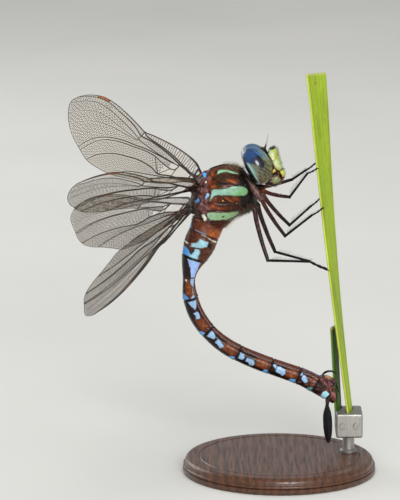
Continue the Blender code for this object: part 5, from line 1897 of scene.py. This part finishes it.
def add_stand(wood, steel):
    """A turned base with a bead and an engraved ring, the rod with its collar, the clamp."""
    top, radius = BASE_HEIGHT, BASE_RADIUS
    profile = [(radius - 0.5, 0.0), (radius - 0.15, 0.12), (radius, 0.4), (radius, 1.0),
               *arc(radius - 0.3, 1.45, 0.28, 0.3, -90, 90, 9),
               *arc(radius - 1.3, top - 1.0, 0.95, 1.0, 0, 90, 10),
               (15.2, top), (15.08, top - 0.14), (14.88, top - 0.14), (14.76, top), (3.0, top)]
    make_piece("base_turned", *lathe(profile, 160), wood, "base_wood", ["stand_base"],
               crease=STAND_CREASE)
    low, high = in_mm(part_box("stand_rod"))
    profile = [(1.55, low[2] - 0.2), (1.6, low[2]), (1.6, low[2] + 0.35), (1.45, low[2] + 0.5),
               (1.1, low[2] + 0.55), (1.1, high[2] - 0.3), (1.1, high[2] + 0.2)]
    make_piece("rod_turned", *lathe(profile, 64, (low[:2] + high[:2]) / 2), steel, "stand_metal",
               ["stand_rod"], crease=STAND_CREASE)
    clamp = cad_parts["stand_clamp"]
    clamp.data.materials.clear()
    clamp.data.materials.append(steel)
    low, high = in_mm(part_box("stand_clamp"))
    screws = []
    for share in (0.25, 0.75):
        x, z = low[0] + (high[0] - low[0]) * share, (low[2] + high[2]) / 2
        screws.append(skin([oval((x, low[1] + depth, z), X_AXIS, Z_AXIS, radius, radius, 48)
                            for radius, depth in SCREW]))
    make_piece("clamp_screws", *joined(screws), steel, "stand_metal", crease=STAND_CREASE)


# ---------------------------- stage, light and camera

# In metres.
FLOOR_RADIUS = 12
LIGHTS_AIM = (-5, 0, 42)
HEAD_AIM = (-4, -4, 58)
CAMERA_AIM = (-14.815, 0, 42.2)
CAMERA_DISTANCE = 600
CAMERA_RISE = 11
CAMERA_LENS = 233.28
CAMERA_SENSOR = 36.0


def add_stage():
    """A wide, pale, level floor."""
    made, tree = principled("studio floor", Roughness=0.85, Specular_IOR_Level=0.0)
    share = between(tree, noise(tree, 12, 3), 0.3, 0.7, 0.0, 1.0)
    wired(made, Base_Color=blend(tree, share, (200, 200, 196), (205, 204, 200)))
    mesh = bpy.data.meshes.new("floor")
    turns = np.radians(np.arange(0, 360, 5))
    mesh.from_pydata([(FLOOR_RADIUS * math.cos(turn), FLOOR_RADIUS * math.sin(turn), 0)
                      for turn in turns], [], [tuple(range(len(turns)))])
    mesh.materials.append(made)
    floor = bpy.data.objects.new("floor", mesh)
    bpy.context.scene.collection.objects.link(floor)


def add_light(name, kind, place, power, tone=(1, 1, 1), glossy=True, aim=LIGHTS_AIM, **settings):
    """A soft light that faces its aim, itself unseen; it can be kept out of reflections."""
    data = bpy.data.lights.new(name, kind)
    data.energy = power
    data.color = tone
    for key, value in settings.items():
        setattr(data, key, value)
    lamp = bpy.data.objects.new(name, data)
    lamp.location = Vector(place) * MM
    lamp.rotation_euler = (Vector(aim) - Vector(place)).to_track_quat("-Z", "Y").to_euler()
    lamp.visible_glossy = glossy
    lamp.visible_camera = False
    bpy.context.scene.collection.objects.link(lamp)


def add_lights():
    """A broad soft key over the whole floor, area lights round the model, a pale sky."""
    add_light("key", "SUN", (-60, -250, 360), 1.2, (1.0, 0.98, 0.95), False,
              angle=math.radians(28))
    add_light("fill", "AREA", (480, -380, 300), 0.52, (0.95, 0.98, 1.0), False, size=0.36)
    add_light("top", "AREA", (70, 150, 680), 1.2, glossy=False, size=0.44)
    add_light("rim", "AREA", (-410, 380, 240), 1.02, size=0.36)
    add_light("flash", "AREA", (112, -568, 232), 2.4, aim=HEAD_AIM, size=0.24, shape="DISK")
    world = bpy.data.worlds.new("studio")
    world.use_nodes = True
    background = world.node_tree.nodes["Background"]
    background.inputs["Color"].default_value = (*colour(236, 238, 240), 1)
    background.inputs["Strength"].default_value = 0.5
    bpy.context.scene.world = world


def add_camera():
    """The camera, far from the model and a little above it."""
    data = bpy.data.cameras.new("camera")
    data.sensor_width = CAMERA_SENSOR
    data.lens = CAMERA_LENS
    data.clip_start, data.clip_end = 0.01, 40.0
    camera = bpy.data.objects.new("camera", data)
    x, y, z = CAMERA_AIM
    lean = math.radians(CAMERA_RISE)
    camera.location = Vector((x, y - CAMERA_DISTANCE * math.cos(lean),
                              z + CAMERA_DISTANCE * math.sin(lean))) * MM
    camera.rotation_euler = (math.radians(90 - CAMERA_RISE), 0, 0)
    bpy.context.scene.collection.objects.link(camera)
    bpy.context.scene.camera = camera


# ---------------------------- the whole model

def main():
    """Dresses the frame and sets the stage."""
    bpy.context.scene.view_settings.view_transform = "Standard"
    shell = cuticle("patterned cuticle", Specular_IOR_Level=0.17, Coat_Weight=0.11,
                    Coat_Roughness=0.08)
    dark = cuticle("black cuticle", mottle=0.4, roughness=(0.2, 0.36), Specular_IOR_Level=0.18,
                   Coat_Weight=0.08, Coat_Roughness=0.1)
    pale = cuticle("face cuticle", mottle=0.08, fleck=0.05, pits=0.000005,
                   roughness=(0.2, 0.34), Specular_IOR_Level=0.3, Coat_Weight=0.2,
                   Coat_Roughness=0.1)
    vein = bristle_material("vein", (20, 14, 9), (46, 31, 15))
    stigma = bristle_material("pterostigma", (112, 56, 10), (166, 90, 18))
    fair = bristle_material("golden hair", (112, 96, 60), (168, 150, 108))
    black = bristle_material("black hair", (14, 11, 10), (34, 27, 22))
    thorax = add_thorax(shell)
    abdomen = add_abdomen(shell)
    add_ovipositor(dark)
    add_sheath(shell)
    add_cerci(dark)
    add_face(pale)
    add_mouth(pale)
    add_head_back(dark)
    add_crown(pale, dark)
    add_eyes(eye_material())
    add_legs(dark)
    add_wing_roots(dark)
    add_wings(membrane_material(), vein, stigma)
    add_hair(thorax, abdomen, fair, black)
    add_face_hair(black)
    leaf = leaf_material()
    add_leaf("leaf_front", "perch_blade", BLADE, leaf, 300, (136, 158, 34), (196, 204, 84), 5)
    # the leaf behind gets darker greens: painted shade, as it stands in shadow behind the front
    # blade
    add_leaf("leaf_behind", "perch_leaf", LEAF, leaf, 120, (62, 96, 30), (104, 138, 52), 6)
    add_stand(wood_material(), steel_material())
    add_stage()
    add_lights()
    add_camera()


main()
